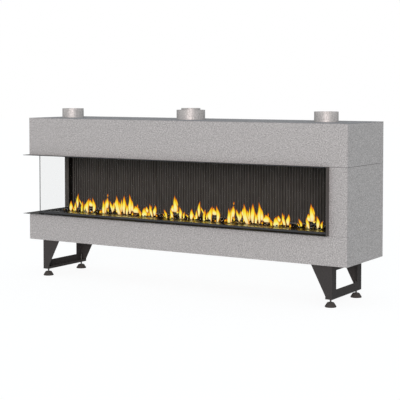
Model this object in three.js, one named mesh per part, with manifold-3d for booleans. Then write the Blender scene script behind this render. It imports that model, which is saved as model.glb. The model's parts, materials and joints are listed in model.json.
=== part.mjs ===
// Built-in gas fireplace, glazed at the front and at the left end, closed at the right end.
// A galvanised casing stands on two folded leg frames with levelling feet. A black flange frame
// stands proud of the casing round the opening, and the firebox has a ribbed back.
// Lengths are millimetres. X runs to the right along the front, Y to the back and Z up.
// Inside the casing group, X, Y and Z are zero at the left, front and bottom faces of the casing.

import * as THREE from 'three';
import { mergeVertices } from 'three/addons/utils/BufferGeometryUtils.js';
import Module from 'manifold-3d';

const wasm = await Module();
wasm.setup();

// Casing
const casingWidth = 2490;
const casingDepth = 550;
const casingHeight = 871;
const openingBottom = 184;
const openingTop = 606;
const cornerPanelWidth = 121;
const sheet = 1.5;
const lidPlate = 2;
const carryingLip = 70;
const plainLip = 25;
const upperLip = 44;
const lowerSeam = 0.7;
const upperSeam = 1.5;
const cornerLipInset = 30;
const jambReturn = 30;

// Clearances, and how far a cut runs past its piece
const fitGap = 0.3;
const overrun = 5;
const weldLap = 0.5;
const weldStep = 0.2;
const bendRoot = 0.1;
const mergeDistance = 0.0001;

// Flange frame of black plate, with the grooves that hold the glass
const flangeProud = 33;
const flangePlate = 3;
const channelRise = 14;
const grooveWall = 2;
const grooveClearance = 2;
const upperGrooveDepth = 37;
const innerLip = 17;
const leftFlangeInset = 100;
const jambThickness = 4;
const jambInnerReach = 80;

// Glass
const glassInset = 50;
const glassThickness = 4;
const glassTopReach = 12;
const glassCornerGap = 0.5;

// Post at the rear left corner of the firebox
const postInset = 45;
const postWidth = 39;
const postReach = 33;
const postPlate = 3;

// Ribbed back, in equal panels
const rearSpace = 172;
const ribDepth = 8;
const ribPitch = 20.35;
const ribCrestShare = 0.34;
const ribValleyShare = 0.3;
const linerBase = 4;
const linerPanels = 3;

// Firebox roof, its baffle and its relief flaps
const baffleDrop = 11;
const bafflePlate = 2;
const baffleWidth = 420;
const baffleDepth = 190;
const baffleRearGap = 8;
const baffleStudRadius = 4;
const baffleStudInset = 20;
const reliefOffset = 600;
const reliefWidth = 200;
const reliefDepth = 130;
const reliefMargin = 10;
const reliefForward = 45;
const flapPlate = 2;
const hingePinRadius = 2.5;
const hingeBarrelRadius = 4.5;
const hingeBarrelLength = 60;
const hingeEarThickness = 3;
const hingeEarSide = 9;

// Flue and duct collars, and the air box below the flue
const leftDuctX = 181;
const rightDuctInset = 152;
const collarWall = 1.5;
const ductRadius = 77.5;
const ductHeight = 65;
const ductSkirt = 22;
const flueOuterRadius = 97.5;
const flueOuterHeight = 65;
const flueInnerRadius = 65;
const flueInnerHeight = 77;
const collarFlange = 15;
const pipeFoot = 5;
const airBoxPlate = 2;
const airBoxWidth = 500;
const airBoxFrontReach = 115;
const airBoxRearSpace = 100;
const airBoxHeight = 92;

// Deck round the burner
const deckPlate = 3;
const deckDrop = 14;
const deckLip = 1.5;

// Burner tray
const trayLeft = 150;
const trayRightInset = 95;
const trayFront = 111;
const trayRearInset = 71;
const trayDepth = 56;
const trayLip = 20;
const trayLegWidth = 30;
const trayLegInset = 170;
const saddleThickness = 3;
const saddleWidth = 40;
const saddleHeight = 10;
const saddlesPerTube = 2;

// Burner tubes
const tubeRadius = 14;
const tubeWall = 1.5;
const tubeEndInset = 40;
const tubeCentreGap = 30;
const portLength = 30;
const portWidth = 2.5;
const portPitch = 60;

// Bed of loose stones over the burner
const bedRise = 8;
const lumpHeight = 9;
const lumpPitch = 60;
const bedStepsPerLump = 3;
const bedRows = 6;
const pilotNotchWidth = 84;
const pilotNotchDepth = 44;

// Pilot
const pilotShelfHeight = 50;
const pilotPlate = 2;
const pilotBaseDepth = 24;
const pilotSpacing = 22;
const pilotRodRadius = 6;
const pilotRise = 16;
const pilotHoodRadius = 9;
const pilotHoodHeight = 12;
const electrodeRadius = 3;
const electrodeCollar = 5;
const electrodeCollarHeight = 8;
const electrodeTail = 30;
const electrodeRise = 22;
const sensorRadius = 2.5;

// Gas valve, its knob and the receiver, in the space behind the right corner panel
const valveInset = 70;
const valveWidth = 60;
const valveFront = 200;
const valveDepth = 100;
const valveHeight = 70;
const knobRadius = 13;
const knobDepth = 16;
const knobGripHeight = 8;
const knobGripWidth = 6;
const knobStemRadius = 4;
const knobStemLength = 6;
const receiverWidth = 80;
const receiverFront = 60;
const receiverDepth = 90;
const receiverHeight = 38;
const receiverRound = 6;

// Gas pipes and the shut-off tap below the base plate
const supplyRadius = 7.5;
const supplyRearInset = 70;
const supplyHeight = 45;
const tapInset = 650;
const tapDrop = 38;
const tapLength = 70;
const tapNutRadius = 15;
const tapNutLength = 16;
const tapBallRadius = 16;
const tapRunOut = 30;
const pipeBend = 28;
const pipeHoleClearance = 1;
const manifoldRadius = 6;
const manifoldHeight = 62;
const manifoldTurn = 84;
const injectorRadius = 5;
const teeSide = 20;
const leverLength = 62;
const leverWidth = 16;
const leverThickness = 4;
const leverHubRadius = 10;
const leverStemRadius = 4;
const leverStemLength = 6;

// Air slots in the base plate
const slotCount = 12;
const slotLength = 70;
const slotWidth = 5;
const slotPitch = 110;
const slotRearInset = 80;

// Leg frames
const legInset = 107;
const legPlate = 3;
const legFront = 20;
const legRearInset = 91;
const legDrop = 210;
const legRingSide = 60;
const legRingTop = 34;
const legRingBottom = 56;
const legWingTop = 145;
const legChannelWidth = 46;
const legChannelLip = 18;
const legTopLip = 30;
const legWeldNutRadius = 10;
const legWeldNutHeight = 10;

// Levelling feet
const footDrop = 49;
const footAxisInset = 23;
const footFrontInset = 29;
const footRearInset = 30;
const padRadius = 36;
const padHeight = 28;
const padRim = 5;
const padShoulderRadius = 22.5;
const padShoulderDrop = 2;
const padCrownRadius = 20;
const padSocketDepth = 10;
const spindleRadius = 6;
const spindleClearance = 0.5;
const spindleReach = 55;

// Facets of round pieces
const collarSides = 40;
const roundSides = 20;
const smallSides = 12;
const nutSides = 6;

// Places along and across the casing, worked out from the sizes above
const jambX = casingWidth - cornerPanelWidth;
const shellX = jambX - jambThickness;
const rightDuctX = jambX - rightDuctInset;
const flueX = (leftDuctX + rightDuctX) / 2;
const flueY = casingDepth / 2;
const valveX = casingWidth - valveInset;
const tapX = casingWidth - tapInset;
const supplyY = casingDepth - supplyRearInset;
const ribTips = casingDepth - rearSpace;
const postFront = ribTips - postReach;
const linerBack = ribTips + ribDepth + linerBase;
const shellBack = linerBack + fitGap;
const trayRight = shellX - trayRightInset;
const trayRear = ribTips - trayRearInset;
const trayCentreX = (trayLeft + trayRight) / 2;
const trayCentreY = (trayFront + trayRear) / 2;
const legRear = casingDepth - legRearInset;
const footFrontY = legFront + footFrontInset;
const footRearY = legRear - footRearInset;

// Faces and heights worked out from the sizes above
const glassInnerFace = glassInset + glassThickness;
const grooveOuter = glassInset - grooveClearance;
const grooveInner = glassInnerFace + grooveClearance;
const profileInner = grooveInner + grooveWall;
const deckTop = openingBottom + channelRise;
const roofBottom = openingTop - flangePlate + grooveWall + fitGap;
const roofTop = roofBottom + sheet;
const lidBottom = casingHeight - lidPlate;
const trayLipTop = deckTop - deckPlate - fitGap;
const trayFloor = trayLipTop - trayDepth;
const tubeAxis = trayFloor + sheet + saddleHeight + fitGap + tubeRadius;
const bedBottom = tubeAxis + tubeRadius + fitGap;

const galvanised = { color: 0xacaaa9, roughness: 0.55, metalness: 0.6 };
const collarSteel = { color: 0xb9b8b7, roughness: 0.35, metalness: 0.8 };
const blackSteel = { color: 0x464341, roughness: 0.5, metalness: 0.3 };
const darkLiner = { color: 0x3a3836, roughness: 0.6, metalness: 0.3 };
const deckBlack = { color: 0x2a2a2b, roughness: 0.2, metalness: 0.2 };
const clearGlass = { color: 0xeff2f2, roughness: 0.05, metalness: 0, transparent: true, opacity: 0.2 };
const stone = { color: 0x191817, roughness: 0.7, metalness: 0 };
const steel = { color: 0xb4b3b0, roughness: 0.35, metalness: 0.9 };
const brass = { color: 0xb08d4a, roughness: 0.35, metalness: 0.9 };
const castAluminium = { color: 0x9a9c9d, roughness: 0.5, metalness: 0.7 };
const blackPlastic = { color: 0x202021, roughness: 0.5, metalness: 0 };
const ceramic = { color: 0xe8e4da, roughness: 0.5, metalness: 0 };

const fireplace = new THREE.Group();
const casing = new THREE.Group();
casing.position.set(-(casingWidth - flangeProud) / 2, -(casingDepth - flangeProud) / 2, legDrop + footDrop);
fireplace.add(casing);

/** Turns a closed geometry into a solid that can be joined and cut. */
function solidOf(geometry) {
  const bare = geometry.index ? geometry.toNonIndexed() : geometry.clone();
  bare.deleteAttribute('normal');
  bare.deleteAttribute('uv');
  const merged = mergeVertices(bare, mergeDistance);
  const mesh = new wasm.Mesh({
    numProp: 3,
    vertProperties: new Float32Array(merged.attributes.position.array),
    triVerts: new Uint32Array(merged.index.array),
  });
  return new wasm.Manifold(mesh);
}

/** Turns a solid back into a geometry with flat faces. */
function geometryOf(solid) {
  const mesh = solid.getMesh();
  const geometry = new THREE.BufferGeometry();
  geometry.setAttribute('position', new THREE.BufferAttribute(new Float32Array(mesh.vertProperties), 3));
  geometry.setIndex(new THREE.BufferAttribute(new Uint32Array(mesh.triVerts), 1));
  const faceted = geometry.toNonIndexed();
  faceted.computeVertexNormals();
  return faceted;
}

/** Joins solids into one. */
function join(...solids) {
  return solids.reduce((whole, next) => whole.add(next));
}

/** Cuts every tool out of a solid. */
function cut(solid, ...tools) {
  return tools.reduce((left, tool) => left.subtract(tool), solid);
}

/** Moves each vertex of a geometry to the place that a function of its old place gives. */
function remap(geometry, target) {
  const position = geometry.attributes.position;
  for (let i = 0; i < position.count; i += 1) {
    position.setXYZ(i, ...target([position.getX(i), position.getY(i), position.getZ(i)]));
  }
  return geometry;
}

/** A block between two corners. */
function block(x0, x1, y0, y1, z0, z1) {
  const unit = new THREE.BoxGeometry(1, 1, 1);
  return solidOf(remap(unit, ([x, y, z]) => [x < 0 ? x0 : x1, y < 0 ? y0 : y1, z < 0 ? z0 : z1]));
}

/** Places of an outline's two coordinates and of its extrusion, from start to end, along each axis. */
const alongX = ([u, v, w], start, end) => [w > 0 ? end : start, u, v];
const alongY = ([u, v, w], start, end) => [u, w > 0 ? start : end, v];
const alongZ = ([u, v, w], start, end) => [u, v, w > 0 ? end : start];

/** Extrudes an outline from start to end. Its point pairs are Y, Z along X; X, Z along Y; X, Y along Z. */
function prism(points, axes, start, end) {
  const outline = new THREE.Shape(points.map(([u, v]) => new THREE.Vector2(u, v)));
  const unit = new THREE.ExtrudeGeometry(outline, { depth: 1, bevelEnabled: false });
  return solidOf(remap(unit, (point) => axes(point, start, end)));
}

/** Turns a profile of radius and height pairs round a vertical axis at x, y. */
function turned(profile, x, y, sides) {
  const points = profile.map(([radius, height]) => new THREE.Vector2(radius, height));
  const geometry = new THREE.LatheGeometry(points, sides);
  geometry.rotateX(Math.PI / 2);
  geometry.translate(x, y, 0);
  return solidOf(geometry);
}

/** A round rod between two points that differ along one axis. */
function rod(radius, from, to, sides) {
  const axis = from.findIndex((value, i) => value !== to[i]);
  const low = Math.min(from[axis], to[axis]);
  const high = Math.max(from[axis], to[axis]);
  const unit = new THREE.CylinderGeometry(radius, radius, 1, sides);
  return solidOf(remap(unit, ([x, y, z]) => {
    const point = [];
    point[axis] = y < 0 ? low : high;
    point[(axis + 1) % 3] = from[(axis + 1) % 3] + z;
    point[(axis + 2) % 3] = from[(axis + 2) % 3] + x;
    return point;
  }));
}

/** A bent pipe through corner points, each corner rounded by the given bend. */
function pipe(radius, corners, bend, steps) {
  const points = corners.map((corner) => new THREE.Vector3(...corner));
  const path = new THREE.CurvePath();
  let start = points[0];
  for (let i = 1; i < points.length - 1; i += 1) {
    const before = points[i].clone().sub(points[i - 1]).setLength(bend);
    const after = points[i + 1].clone().sub(points[i]).setLength(bend);
    const entry = points[i].clone().sub(before);
    const leave = points[i].clone().add(after);
    path.add(new THREE.LineCurve3(start, entry));
    path.add(new THREE.QuadraticBezierCurve3(entry, points[i], leave));
    start = leave;
  }
  path.add(new THREE.LineCurve3(start, points[points.length - 1]));
  const section = new THREE.Shape();
  section.absarc(0, 0, radius, 0, Math.PI * 2, false);
  const options = { extrudePath: path, steps, curveSegments: smallSides / 2 };
  return solidOf(new THREE.ExtrudeGeometry(section, options));
}

/** Names a solid, gives it its finish and adds it to the casing group. */
function place(name, solid, finish) {
  const mesh = new THREE.Mesh(geometryOf(solid), new THREE.MeshStandardMaterial(finish));
  mesh.name = name;
  casing.add(mesh);
  return mesh;
}

/** Base plate with air slots and the hole of the gas pipe. */
function addBasePlate() {
  const edge = sheet + fitGap;
  let plate = block(edge, casingWidth - edge, edge, casingDepth - edge, 0, sheet);
  const rowStart = (casingWidth - (slotCount - 1) * slotPitch) / 2;
  const slotY = casingDepth - slotRearInset;
  for (let i = 0; i < slotCount; i += 1) {
    const x = rowStart + (i - 1) * slotPitch;
    plate = cut(plate, block(x, x + slotLength, slotY, slotY + slotWidth, -overrun, sheet + overrun));
  }
  const hole = supplyRadius + pipeHoleClearance;
  const pipeX = tapX + tapLength / 2 + tapRunOut;
  plate = cut(plate, rod(hole, [pipeX, supplyY, -overrun], [pipeX, supplyY, sheet + overrun], roundSides));
  place('base_plate', plate, galvanised);
}

/** Outline of an upright sheet: distances from its outer face, and heights. Its lips go from low to high. */
function lippedOutline(bottom, top, lips) {
  const outline = [[0, bottom], [sheet, bottom]];
  for (const [depth, z] of lips) {
    outline.push([sheet, z], [depth, z], [depth, z + sheet]);
    if (z + sheet < top) outline.push([sheet, z + sheet]);
  }
  const closed = lips.some(([, z]) => z + sheet >= top);
  return closed ? [...outline, [0, top]] : [...outline, [sheet, top], [0, top]];
}

/** A front sheet of the casing. Its lips stop short of the side sheets. */
function frontSheet(bottom, top, lips) {
  const whole = prism(lippedOutline(bottom, top, lips), alongX, 0, casingWidth);
  const end = sheet + fitGap;
  const reach = carryingLip + overrun;
  return cut(
    whole,
    block(-overrun, end, sheet + bendRoot, reach, bottom - overrun, top + overrun),
    block(casingWidth - end, casingWidth + overrun, sheet + bendRoot, reach, bottom - overrun, top + overrun),
  );
}

/** A side sheet behind the front sheet. Each lip is its depth, lower height and start. Side is -1 or 1. */
function sideSheet(side, bottom, top, lips) {
  const face = side < 0 ? 0 : casingWidth;
  const inward = (distance) => face - side * distance;
  const outline = lippedOutline(bottom, top, lips).map(([distance, z]) => [inward(distance), z]);
  if (side > 0) outline.reverse();
  const front = sheet + fitGap;
  const whole = prism(outline, alongY, front, casingDepth - sheet - fitGap);
  const near = inward(sheet + bendRoot);
  const far = inward(carryingLip + overrun);
  const notches = lips.map(([, z, start]) => block(
    Math.min(near, far), Math.max(near, far),
    front - overrun, start + fitGap,
    z - overrun, z + sheet + overrun,
  ));
  return cut(whole, ...notches);
}

/** The upright sheets of the lower casing, with lips that carry the base plate and the flange frame. */
function addLowerCasing() {
  const top = openingBottom - fitGap;
  const low = sheet + fitGap;
  const high = top - sheet;
  place('lower_front_panel', frontSheet(0, top, [[plainLip, low], [carryingLip, high]]), galvanised);
  const leftLips = [[plainLip, low, plainLip], [carryingLip, high, carryingLip]];
  place('lower_left_panel', sideSheet(-1, 0, top, leftLips), galvanised);
  const rightLips = [[plainLip, low, plainLip], [plainLip, high, carryingLip]];
  place('lower_right_panel', sideSheet(1, 0, top, rightLips), galvanised);
}

/** Full-height rear sheet, cut back beside the glazed left end. */
function addRearPanel() {
  const front = casingDepth - sheet;
  const panel = cut(
    block(0, casingWidth, front, casingDepth, 0, lidBottom - fitGap),
    block(-overrun, postInset, front - overrun, casingDepth + overrun, openingBottom, openingTop),
  );
  place('rear_panel', panel, galvanised);
}

/** Folded panel that closes the right end of the opening and wraps round the right side. */
function addCornerPanel() {
  const bottom = openingBottom + lowerSeam;
  const top = openingTop - upperSeam;
  const left = jambX + fitGap;
  const rear = casingDepth - sheet - fitGap;
  const inner = casingWidth - sheet;
  const outline = [
    [left, 0],
    [casingWidth, 0],
    [casingWidth, rear],
    [inner, rear],
    [inner, sheet],
    [left + sheet, sheet],
    [left + sheet, jambReturn],
    [left, jambReturn],
  ];
  const panel = join(
    prism(outline, alongZ, bottom, top),
    block(
      casingWidth - plainLip, casingWidth - weldLap, cornerLipInset, rear - cornerLipInset,
      openingBottom, openingBottom + sheet,
    ),
  );
  place('right_corner_panel', panel, galvanised);
}

/** The upright sheets of the upper casing and the lid with its collar holes. */
function addUpperCasing() {
  const bottom = openingTop + fitGap;
  const top = lidBottom - fitGap;
  const high = top - sheet;
  place('upper_front_panel', frontSheet(bottom, top, [[upperLip, bottom], [plainLip, high]]), galvanised);
  const leftLips = [[upperLip, bottom, upperLip], [plainLip, high, plainLip]];
  place('upper_left_panel', sideSheet(-1, bottom, top, leftLips), galvanised);
  const rightLips = [[plainLip, bottom, upperLip], [plainLip, high, plainLip]];
  place('upper_right_panel', sideSheet(1, bottom, top, rightLips), galvanised);

  const holes = [[leftDuctX, ductRadius], [flueX, flueOuterRadius], [rightDuctX, ductRadius]];
  let lid = block(0, casingWidth, 0, casingDepth, lidBottom, casingHeight);
  for (const [x, radius] of holes) {
    const from = [x, flueY, lidBottom - overrun];
    lid = cut(lid, rod(radius + fitGap, from, [x, flueY, casingHeight + overrun], collarSides));
  }
  place('top_plate', lid, galvanised);
}

/** Outline of the upper flange: a plate, then a groove that is open below, then an inner lip. */
function upperFlangeOutline() {
  const low = openingTop - flangePlate;
  const lipTop = low + grooveWall;
  const roof = low + upperGrooveDepth;
  const outerWall = grooveOuter - grooveWall;
  return [
    [-flangeProud, low],
    [grooveOuter, low],
    [grooveOuter, roof],
    [grooveInner, roof],
    [grooveInner, low],
    [profileInner + innerLip, low],
    [profileInner + innerLip, lipTop],
    [profileInner, lipTop],
    [profileInner, roof + grooveWall],
    [outerWall, roof + grooveWall],
    [outerWall, openingTop],
    [-flangeProud, openingTop],
  ];
}

/** Outline of the lower flange: a thin plate, then a channel that stands on it and is open above. */
function lowerFlangeOutline() {
  const outerWall = grooveOuter - grooveWall;
  const plateTop = openingBottom + grooveWall;
  return [
    [-flangeProud, openingBottom],
    [profileInner, openingBottom],
    [profileInner, deckTop],
    [grooveInner, deckTop],
    [grooveInner, plateTop],
    [grooveOuter, plateTop],
    [grooveOuter, deckTop],
    [outerWall, deckTop],
    [outerWall, plateTop],
    [-flangeProud, plateTop],
  ];
}

/** Front and left lengths of a flange profile, mitred where they meet. The front one ends at the jamb. */
function addFlangePair(name, outline) {
  const near = -flangeProud - overrun;
  const far = profileInner + innerLip + overrun;
  const low = openingBottom - overrun;
  const high = openingTop + upperGrooveDepth + overrun;
  const overLeft = [[near, near], [far, far], [near, far]];
  const below = near - overrun;
  const overFront = [[near, below], [far, below], [far, far + fitGap], [near, near + fitGap]];
  const front = prism(outline, alongX, -flangeProud, shellX - fitGap);
  place(`${name}_front`, cut(front, prism(overLeft, alongZ, low, high)), blackSteel);
  const left = prism(outline, alongY, -flangeProud, casingDepth - leftFlangeInset);
  place(`${name}_left`, cut(left, prism(overFront, alongZ, low, high)), blackSteel);
}

/** Upright plate of the flange frame at the right end of the opening, past the ends of both flanges. */
function addJamb() {
  const top = roofBottom - fitGap;
  const end = jambInnerReach - fitGap;
  place('right_flange_jamb', block(shellX, jambX, -flangeProud, end, openingBottom, top), blackSteel);
}

/** The two panes. The front pane covers the edge of the left one, and both stand in the lower groove. */
function addGlass() {
  const bottom = openingBottom + grooveWall + fitGap;
  const top = openingTop + glassTopReach;
  const right = shellX - sheet - fitGap;
  place('front_glass', block(glassInset, right, glassInset, glassInnerFace, bottom, top), clearGlass);
  const start = glassInnerFace + glassCornerGap;
  const end = postFront - fitGap;
  place('left_glass', block(glassInset, glassInnerFace, start, end, bottom, top), clearGlass);
}

/** Folded post behind the left pane, with its cheek that runs back to the rear panel. */
function addPost() {
  const right = postInset + postWidth;
  const rear = casingDepth - sheet - fitGap;
  const outline = [
    [postInset, postFront],
    [right, postFront],
    [right, linerBack],
    [right - postPlate, linerBack],
    [right - postPlate, postFront + postPlate],
    [postInset + postPlate, postFront + postPlate],
    [postInset + postPlate, rear],
    [postInset, rear],
  ];
  const bottom = deckTop + fitGap;
  const top = openingTop - flangePlate - fitGap;
  place('rear_left_post', prism(outline, alongZ, bottom, top), blackSteel);
}

/** Ribbed back panels, all alike. */
function addBackLiner() {
  const left = postInset + postWidth + fitGap;
  const right = shellX - fitGap;
  const panelWidth = (right - left - (linerPanels - 1) * fitGap) / linerPanels;
  const ribCount = Math.floor(panelWidth / ribPitch);
  const margin = (panelWidth - ribCount * ribPitch) / 2;
  const valley = ribTips + ribDepth;
  const crest = ribPitch * ribCrestShare;
  const flat = ribPitch * ribValleyShare;
  const flank = (ribPitch - crest - flat) / 2;
  const names = ['back_liner_left', 'back_liner_centre', 'back_liner_right'];
  names.forEach((name, index) => {
    const start = left + index * (panelWidth + fitGap);
    const outline = [[start, linerBack], [start, valley]];
    for (let rib = 0; rib < ribCount; rib += 1) {
      const x = start + margin + rib * ribPitch + flat / 2;
      outline.push([x, valley], [x + flank, ribTips]);
      outline.push([x + flank + crest, ribTips], [x + ribPitch - flat, valley]);
    }
    outline.push([start + panelWidth, valley], [start + panelWidth, linerBack]);
    const bottom = deckTop + fitGap;
    const top = openingTop - flangePlate - fitGap;
    place(name, prism(outline.reverse(), alongZ, bottom, top), darkLiner);
  });
}

/** Folded sheet behind the liner and at the right end of the firebox, down to the base plate. */
function addShell() {
  const left = postInset + postWidth + fitGap;
  const rear = shellBack + sheet;
  const outline = [
    [shellX, jambInnerReach],
    [shellX + sheet, jambInnerReach],
    [shellX + sheet, rear],
    [left, rear],
    [left, shellBack],
    [shellX, shellBack],
  ];
  const whole = prism(outline, alongZ, sheet + fitGap, roofBottom - fitGap);
  const holeY = valveFront + valveDepth / 2;
  const hole = rod(
    manifoldRadius + pipeHoleClearance,
    [shellX - overrun, holeY, manifoldHeight],
    [shellX + sheet + overrun, holeY, manifoldHeight],
    roundSides,
  );
  place('firebox_shell', cut(whole, hole), blackSteel);
}

/** Firebox roof with the flue outlet, the relief openings and the ears and pins of the flap hinges. */
function addRoof() {
  const edge = profileInner + fitGap;
  const low = roofBottom - overrun;
  const high = roofTop + overrun;
  const bore = rod(flueInnerRadius - collarWall, [flueX, flueY, low], [flueX, flueY, high], collarSides);
  let roof = cut(block(edge, shellX + sheet, edge, shellBack + sheet, roofBottom, roofTop), bore);
  const reliefCentre = flueY - reliefForward;
  const pinHeight = roofTop + fitGap + hingeBarrelRadius;
  const pinY = reliefCentre + reliefDepth / 2 + reliefMargin + hingeBarrelRadius;
  const earHalf = hingeEarSide / 2;
  for (const offset of [-reliefOffset, reliefOffset]) {
    const x = flueX + offset;
    const hole = block(
      x - reliefWidth / 2, x + reliefWidth / 2,
      reliefCentre - reliefDepth / 2, reliefCentre + reliefDepth / 2,
      low, high,
    );
    const reach = hingeBarrelLength / 2 + fitGap + hingeEarThickness;
    const pin = rod(hingePinRadius, [x - reach, pinY, pinHeight], [x + reach, pinY, pinHeight], smallSides);
    const ears = [-1, 1].map((side) => {
      const outer = x + side * reach;
      const inner = outer - side * hingeEarThickness;
      return block(
        Math.min(inner, outer), Math.max(inner, outer), pinY - earHalf, pinY + earHalf,
        roofBottom, pinHeight + earHalf,
      );
    });
    roof = join(cut(roof, hole), pin, ...ears);
  }
  place('firebox_roof', roof, blackSteel);

  const flap = (x) => {
    const bottom = roofTop + fitGap;
    const half = reliefWidth / 2 + reliefMargin;
    const front = reliefCentre - reliefDepth / 2 - reliefMargin;
    const top = bottom + flapPlate;
    const barrelFront = pinY - hingeBarrelRadius;
    const alongPin = (reach) => [[x - reach, pinY, pinHeight], [x + reach, pinY, pinHeight]];
    const halfBarrel = hingeBarrelLength / 2;
    const plate = join(
      block(x - half, x + half, front, barrelFront - fitGap, bottom, top),
      block(x - halfBarrel, x + halfBarrel, barrelFront - overrun, pinY, bottom, top),
      rod(hingeBarrelRadius, ...alongPin(halfBarrel), roundSides),
    );
    return cut(plate, rod(hingePinRadius + fitGap, ...alongPin(halfBarrel + overrun), smallSides));
  };
  place('relief_flap_left', flap(flueX - reliefOffset), blackSteel);
  place('relief_flap_right', flap(flueX + reliefOffset), blackSteel);

  const roofFace = roofBottom - fitGap;
  const baffleTop = roofFace - baffleDrop;
  const left = flueX - baffleWidth / 2;
  const right = flueX + baffleWidth / 2;
  const rear = ribTips - baffleRearGap;
  const front = rear - baffleDepth;
  let baffle = block(left, right, front, rear, baffleTop - bafflePlate, baffleTop);
  for (const x of [left + baffleStudInset, right - baffleStudInset]) {
    for (const y of [front + baffleStudInset, rear - baffleStudInset]) {
      const stud = rod(baffleStudRadius, [x, y, baffleTop - bafflePlate / 2], [x, y, roofFace], smallSides);
      baffle = join(baffle, stud);
    }
  }
  place('baffle_plate', baffle, blackSteel);
}

/** A thin collar with a ring that lies under the plate it passes. */
function collarProfile(radius, bottom, top, ringTop) {
  const inside = radius - collarWall;
  const ringBottom = ringTop - sheet;
  return [
    [inside, bottom],
    [radius, bottom],
    [radius, ringBottom],
    [radius + collarFlange, ringBottom],
    [radius + collarFlange, ringTop],
    [radius, ringTop],
    [radius, top],
    [inside, top],
    [inside, bottom],
  ];
}

/** Duct collars at both ends, and the flue with its inner pipe and its air box. */
function addCollars() {
  const ringTop = lidBottom - fitGap;
  const ductBottom = lidBottom - ductSkirt;
  const ductTop = casingHeight + ductHeight;
  const duct = collarProfile(ductRadius, ductBottom, ductTop, ringTop);
  place('left_duct_collar', turned(duct, leftDuctX, flueY, collarSides), collarSteel);
  place('right_duct_collar', turned(duct, rightDuctX, flueY, collarSides), collarSteel);

  const boxTop = roofTop + fitGap + airBoxHeight;
  const outer = collarProfile(flueOuterRadius, boxTop + fitGap, casingHeight + flueOuterHeight, ringTop);
  place('flue_outer_collar', turned(outer, flueX, flueY, collarSides), collarSteel);

  const inside = flueInnerRadius - collarWall;
  const seat = roofTop + fitGap;
  const pipeTop = casingHeight + flueInnerHeight;
  const inner = [
    [inside, seat],
    [flueInnerRadius + pipeFoot, seat],
    [flueInnerRadius + pipeFoot, seat + sheet],
    [flueInnerRadius, seat + sheet],
    [flueInnerRadius, pipeTop],
    [inside, pipeTop],
    [inside, seat],
  ];
  place('flue_inner_collar', turned(inner, flueX, flueY, collarSides), collarSteel);

  const half = airBoxWidth / 2;
  const airBoxFront = flueY - airBoxFrontReach;
  const airBoxRear = casingDepth - airBoxRearSpace;
  const hollow = block(
    flueX - half + airBoxPlate, flueX + half - airBoxPlate,
    airBoxFront + airBoxPlate, airBoxRear - airBoxPlate,
    seat - overrun, boxTop - airBoxPlate,
  );
  const bore = rod(
    flueOuterRadius - collarWall, [flueX, flueY, seat], [flueX, flueY, boxTop + overrun], collarSides,
  );
  const box = cut(block(flueX - half, flueX + half, airBoxFront, airBoxRear, seat, boxTop), hollow, bore);
  place('air_box', box, galvanised);
}

/** Four deck plates round the burner tray, level with the lower flange. */
function addDeck() {
  const left = profileInner + fitGap;
  const right = shellX - fitGap;
  const front = profileInner + fitGap;
  const rear = shellBack - fitGap;
  const bottom = deckTop - deckPlate;
  const drop = deckTop - deckDrop;
  place('deck_front', join(
    block(left, right, front, trayFront, bottom, deckTop),
    block(left, right, front, front + deckLip, drop, deckTop),
  ), deckBlack);
  place('deck_rear', join(
    block(left, right, trayRear, rear, bottom, deckTop),
    block(left, left + deckLip, trayRear, rear, drop, deckTop),
  ), deckBlack);
  const endFront = trayFront + fitGap;
  const endRear = trayRear - fitGap;
  place('deck_left', join(
    block(left, trayLeft, endFront, endRear, bottom, deckTop),
    block(left, left + deckLip, endFront, endRear, drop, deckTop),
  ), deckBlack);
  place('deck_right', block(trayRight, right, endFront, endRear, bottom, deckTop), deckBlack);
}

/** Middle and length of each burner tube along the tray. */
function tubeSpan(side) {
  const inner = trayCentreX + side * tubeCentreGap / 2;
  const outer = side < 0 ? trayLeft + tubeEndInset : trayRight - tubeEndInset;
  return [Math.min(inner, outer), Math.max(inner, outer)];
}

/** Pan under the deck, with its lips, the saddles of the burner tubes and the legs it stands on. */
function addTray() {
  const lipBottom = trayLipTop - sheet;
  const outer = block(trayLeft, trayRight, trayFront, trayRear, trayFloor, trayLipTop);
  const rim = block(
    trayLeft - trayLip, trayRight + trayLip,
    trayFront - trayLip, trayRear + trayLip,
    lipBottom, trayLipTop,
  );
  const hollow = block(
    trayLeft + sheet, trayRight - sheet,
    trayFront + sheet, trayRear - sheet,
    trayFloor + sheet, trayLipTop + overrun,
  );
  let tray = cut(join(outer, rim), hollow);
  for (const side of [-1, 1]) {
    const [start, end] = tubeSpan(side);
    for (let i = 0; i < saddlesPerTube; i += 1) {
      const x = start + (end - start) * (i + 1) / (saddlesPerTube + 1);
      tray = join(tray, block(
        x, x + saddleThickness,
        trayCentreY - saddleWidth / 2, trayCentreY + saddleWidth / 2,
        trayFloor + sheet / 2, trayFloor + sheet + saddleHeight,
      ));
    }
    const legX = side < 0 ? trayLeft + trayLegInset : trayRight - trayLegInset - trayLegWidth;
    const legBottom = sheet + fitGap;
    for (const y of [trayFront, trayRear - sheet]) {
      tray = join(tray, block(legX, legX + trayLegWidth, y, y + sheet, legBottom, trayFloor + sheet));
    }
  }
  const holeEnds = [-overrun, sheet + overrun].map((rise) => [trayCentreX, trayCentreY, trayFloor + rise]);
  const hole = rod(manifoldRadius + pipeHoleClearance, ...holeEnds, roundSides);
  place('burner_tray', cut(tray, hole), blackSteel);
}

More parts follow.
